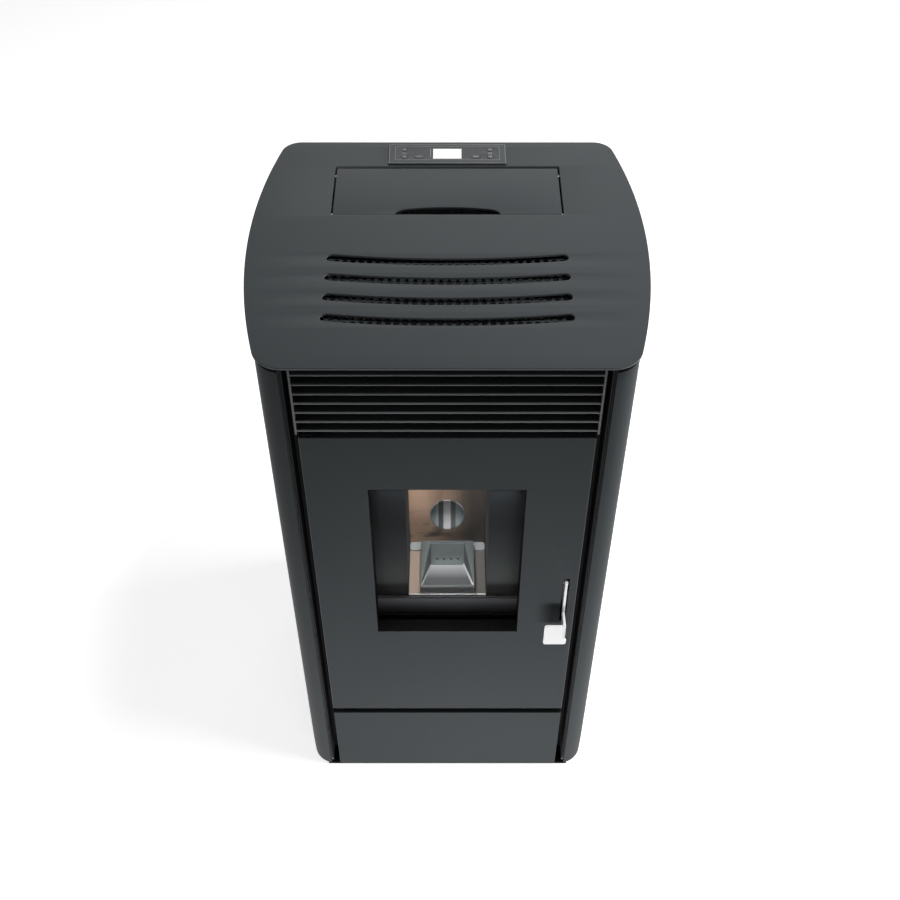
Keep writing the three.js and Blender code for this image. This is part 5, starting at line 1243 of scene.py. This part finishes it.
# fire chamber: the pot's wedge hollow is lined by a polished slope, its gradient a painted reflection, with
# near-white edge bars as painted highlights; the pot's rear and front plates carry painted reflection too
potLow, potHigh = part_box("burn_pot")
pot = {
    "front": -163 * mm,
    "rear": -76 * mm,
    "hollowFront": -160 * mm,
    "slopeTop": 420 * mm,
    "slopeBottom": 366 * mm,
    "frontHalf": 40.6 * mm,
    "rearHalf": 26.9 * mm,
    "lift": 0.5 * mm,
    "holePitch": 11.2 * mm,
    "holeHeight": 382 * mm,
    "holeRadius": 2.3 * mm,
    "thinBar": 0.95 * mm,
    "thickBar": 2.1 * mm,
    "lipBar": 0.9 * mm,
    "bodyEdge": 0.8 * mm,
    "skirtBottom": 404.6 * mm,
    "plateTop": 423 * mm,
    "plateProud": 0.4 * mm,
    "plateEdge": 0.1 * mm,
    "rearBack": 0.3 * mm,
    "skirtBack": 0.2 * mm,
}


def makeBurnPot():
    dress(refined("burn_pot", "burnPot", pot["bodyEdge"]), "burn_pot", material=potSteel)
    lift = pot["lift"]
    frontY, rearY = pot["hollowFront"] + lift, pot["rear"] - lift
    topZ, lowZ = pot["slopeTop"] + lift, pot["slopeBottom"] + lift
    corners = [(-pot["frontHalf"], frontY, topZ), (pot["frontHalf"], frontY, topZ),
               (pot["rearHalf"], rearY, lowZ), (-pot["rearHalf"], rearY, lowZ)]
    bm = bmesh.new()
    under = [bm.verts.new((x, y, z - lift)) for x, y, z in corners]
    upper = [bm.verts.new(corner) for corner in corners]
    bm.faces.new(upper)
    bm.faces.new(under[::-1])
    for i in range(4):
        j = (i + 1) % 4
        bm.faces.new((under[i], under[j], upper[j], upper[i]))
    slope = finishMesh("potSlope", bm)
    dress(slope, slot="cast_iron", body="pot", material=slopeSteel)
    radius = pot["holeRadius"]
    holes = [ellipse((i - 1.5) * pot["holePitch"], pot["holeHeight"], radius, radius, 16) for i in range(4)]
    rear = uprightSheet("potRearPlate", [rectangle(-pot["rearHalf"], pot["rearHalf"], lowZ, pot["plateTop"])]
                        + holes, rearY - pot["plateProud"], rearY + pot["rearBack"], pot["plateEdge"], 1)
    dress(rear, slot="cast_iron", body="pot", material=rearSteel)
    front = [rectangle(potLow.x, potHigh.x, pot["skirtBottom"], pot["plateTop"])]
    skirt = uprightSheet("potFrontPlate", front, pot["front"] - pot["plateProud"],
                         pot["front"] + pot["skirtBack"], pot["plateEdge"], 1)
    dress(skirt, slot="cast_iron", body="pot", material=skirtSteel)
    bm = bmesh.new()
    bars = [(corners[0], corners[3], pot["thinBar"]), (corners[1], corners[2], pot["thickBar"]),
            (corners[0], corners[1], pot["lipBar"])]
    for start, end, radius in bars:
        rise = Vector((0, 0, radius * 0.6))
        roundBar(bm, Vector(start) + rise, Vector(end) + rise, radius, 0, 16, radius * 0.4)
    dress(finishMesh("potEdgeBars", bm), slot="cast_iron", body="pot", material=brightEdge)


# liners: the brown back wall and floor, the floor's lip in near-white as a painted highlight, the apron and
# cheeks with painted light and shade, and the cradle's rounded ears
liner = {
    "edge": 0.4 * mm,
    "lip": 1.9 * mm,
    "lipHeight": 3 * mm,
    "earCorner": 4.5 * mm,
    "earDepth": 16.5 * mm,
    "easedEdge": 0.6 * mm,
    "potGap": 0.3 * mm,
}


def makeLiners():
    dress(refined("fire_back", "fireBack", liner["edge"]), "fire_back")
    dress(refined("fire_floor", "fireFloor", liner["edge"]), "fire_floor", material=floorSteel)
    low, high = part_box("fire_floor")
    bm = bmesh.new()
    y0, z1 = low.y - 0.05 * mm, high.z + 0.05 * mm
    easedBlock(bm, (low.x, y0, z1 - liner["lipHeight"]), (high.x, y0 + liner["lip"] + 0.2 * mm, z1),
               liner["easedEdge"], 3)
    dress(finishMesh("floorLip", bm), slot="polished_steel", body="root", material=brightEdge)
    dress(refined("fire_apron", "fireApron", liner["edge"]), "fire_apron", material=apronSteel)
    for nodeName, pieceName in (("fire_cheek_left", "fireCheekLeft"), ("fire_cheek_right", "fireCheekRight")):
        dress(refined(nodeName, pieceName, liner["edge"]), nodeName, material=cheekSteel)
    low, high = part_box("pot_cradle")
    inner = potHigh.x + liner["potGap"]
    r = liner["earCorner"]
    earFront, earRear = low.y, low.y + liner["earDepth"]
    half = math.pi / 2
    right = [(inner, earFront), *arc(high.x - r, earFront + r, r, -half, 0, 6),
             *arc(high.x - r, earRear - r, r, 0, half, 6)[:-1], (high.x - r, earRear - 0.02 * mm),
             (high.x - r, high.y), (0, high.y)]
    outline = right + [(-x, y) for x, y in right[::-1][1:]]
    bridge = potHigh.y + liner["potGap"]
    outline += [(-inner, bridge), (inner, bridge)]
    cradle = cutSheet("potCradle", [outline], low.z, high.z, liner["easedEdge"], 3)
    dress(cradle, "pot_cradle", material=earSteel)


def makeChute():
    dress(refined("pellet_chute", "pelletChute", 0.3 * mm), "pellet_chute", material=chuteSteel)


makeBurnPot()
makeLiners()
makeChute()
print("fire chamber made")


# a near-black foot closes each channel beside the door, and a near-black strip closes the gap at the floor:
# both painted shade
channelFeet = {
    "doorGap": 0.4 * mm,
    "panelGap": 0.6 * mm,
    "set": 1 * mm,
    "rear": -206 * mm,
    "bottom": 3.5 * mm,
    "top": 9 * mm,
    "edge": 0.3 * mm,
}
floorStrip = {"past": 8 * mm, "front": 1.5 * mm, "rear": 7 * mm, "bottom": 0.4 * mm, "top": 5.6 * mm}


def makeChannelFeet():
    bm = bmesh.new()
    foot, strip = channelFeet, floorStrip
    for side in (-1, 1):
        x0, x1 = sorted((side * (doorHigh.x + foot["doorGap"]), side * (casing["foldX"] - foot["panelGap"])))
        easedBlock(bm, (x0, doorLow.y + foot["set"], foot["bottom"]),
                   (x1, foot["rear"], foot["top"]), foot["edge"])
    reach = casing["foldX"] + strip["past"]
    easedBlock(bm, (-reach, doorLow.y + strip["front"], strip["bottom"]),
               (reach, doorLow.y + strip["rear"], strip["top"]), foot["edge"])
    dress(finishMesh("channelFeet", bm), slot="black_steel", body="root", material=deepBlack)


makeChannelFeet()


# solids whose shape is right: only their edges are eased, by so many millimetres
refinedEdges = {
    "front_post_left": 0.6, "front_post_right": 0.6, "glass_retainer": 0.5, "door_frame": 0.8,
    "door_glass": 0.8,
}
# the door frame and glass retainer in near-black: painted shade around the window
shadeFinish = {"door_frame": deepBlack, "glass_retainer": deepBlack}
for nodeName, edge in refinedEdges.items():
    pieceName = "".join(word.capitalize() if i else word for i, word in enumerate(nodeName.split("_")))
    dress(refined(nodeName, pieceName, edge * mm), nodeName, material=shadeFinish.get(nodeName))
print("posts, door frame and glass made")
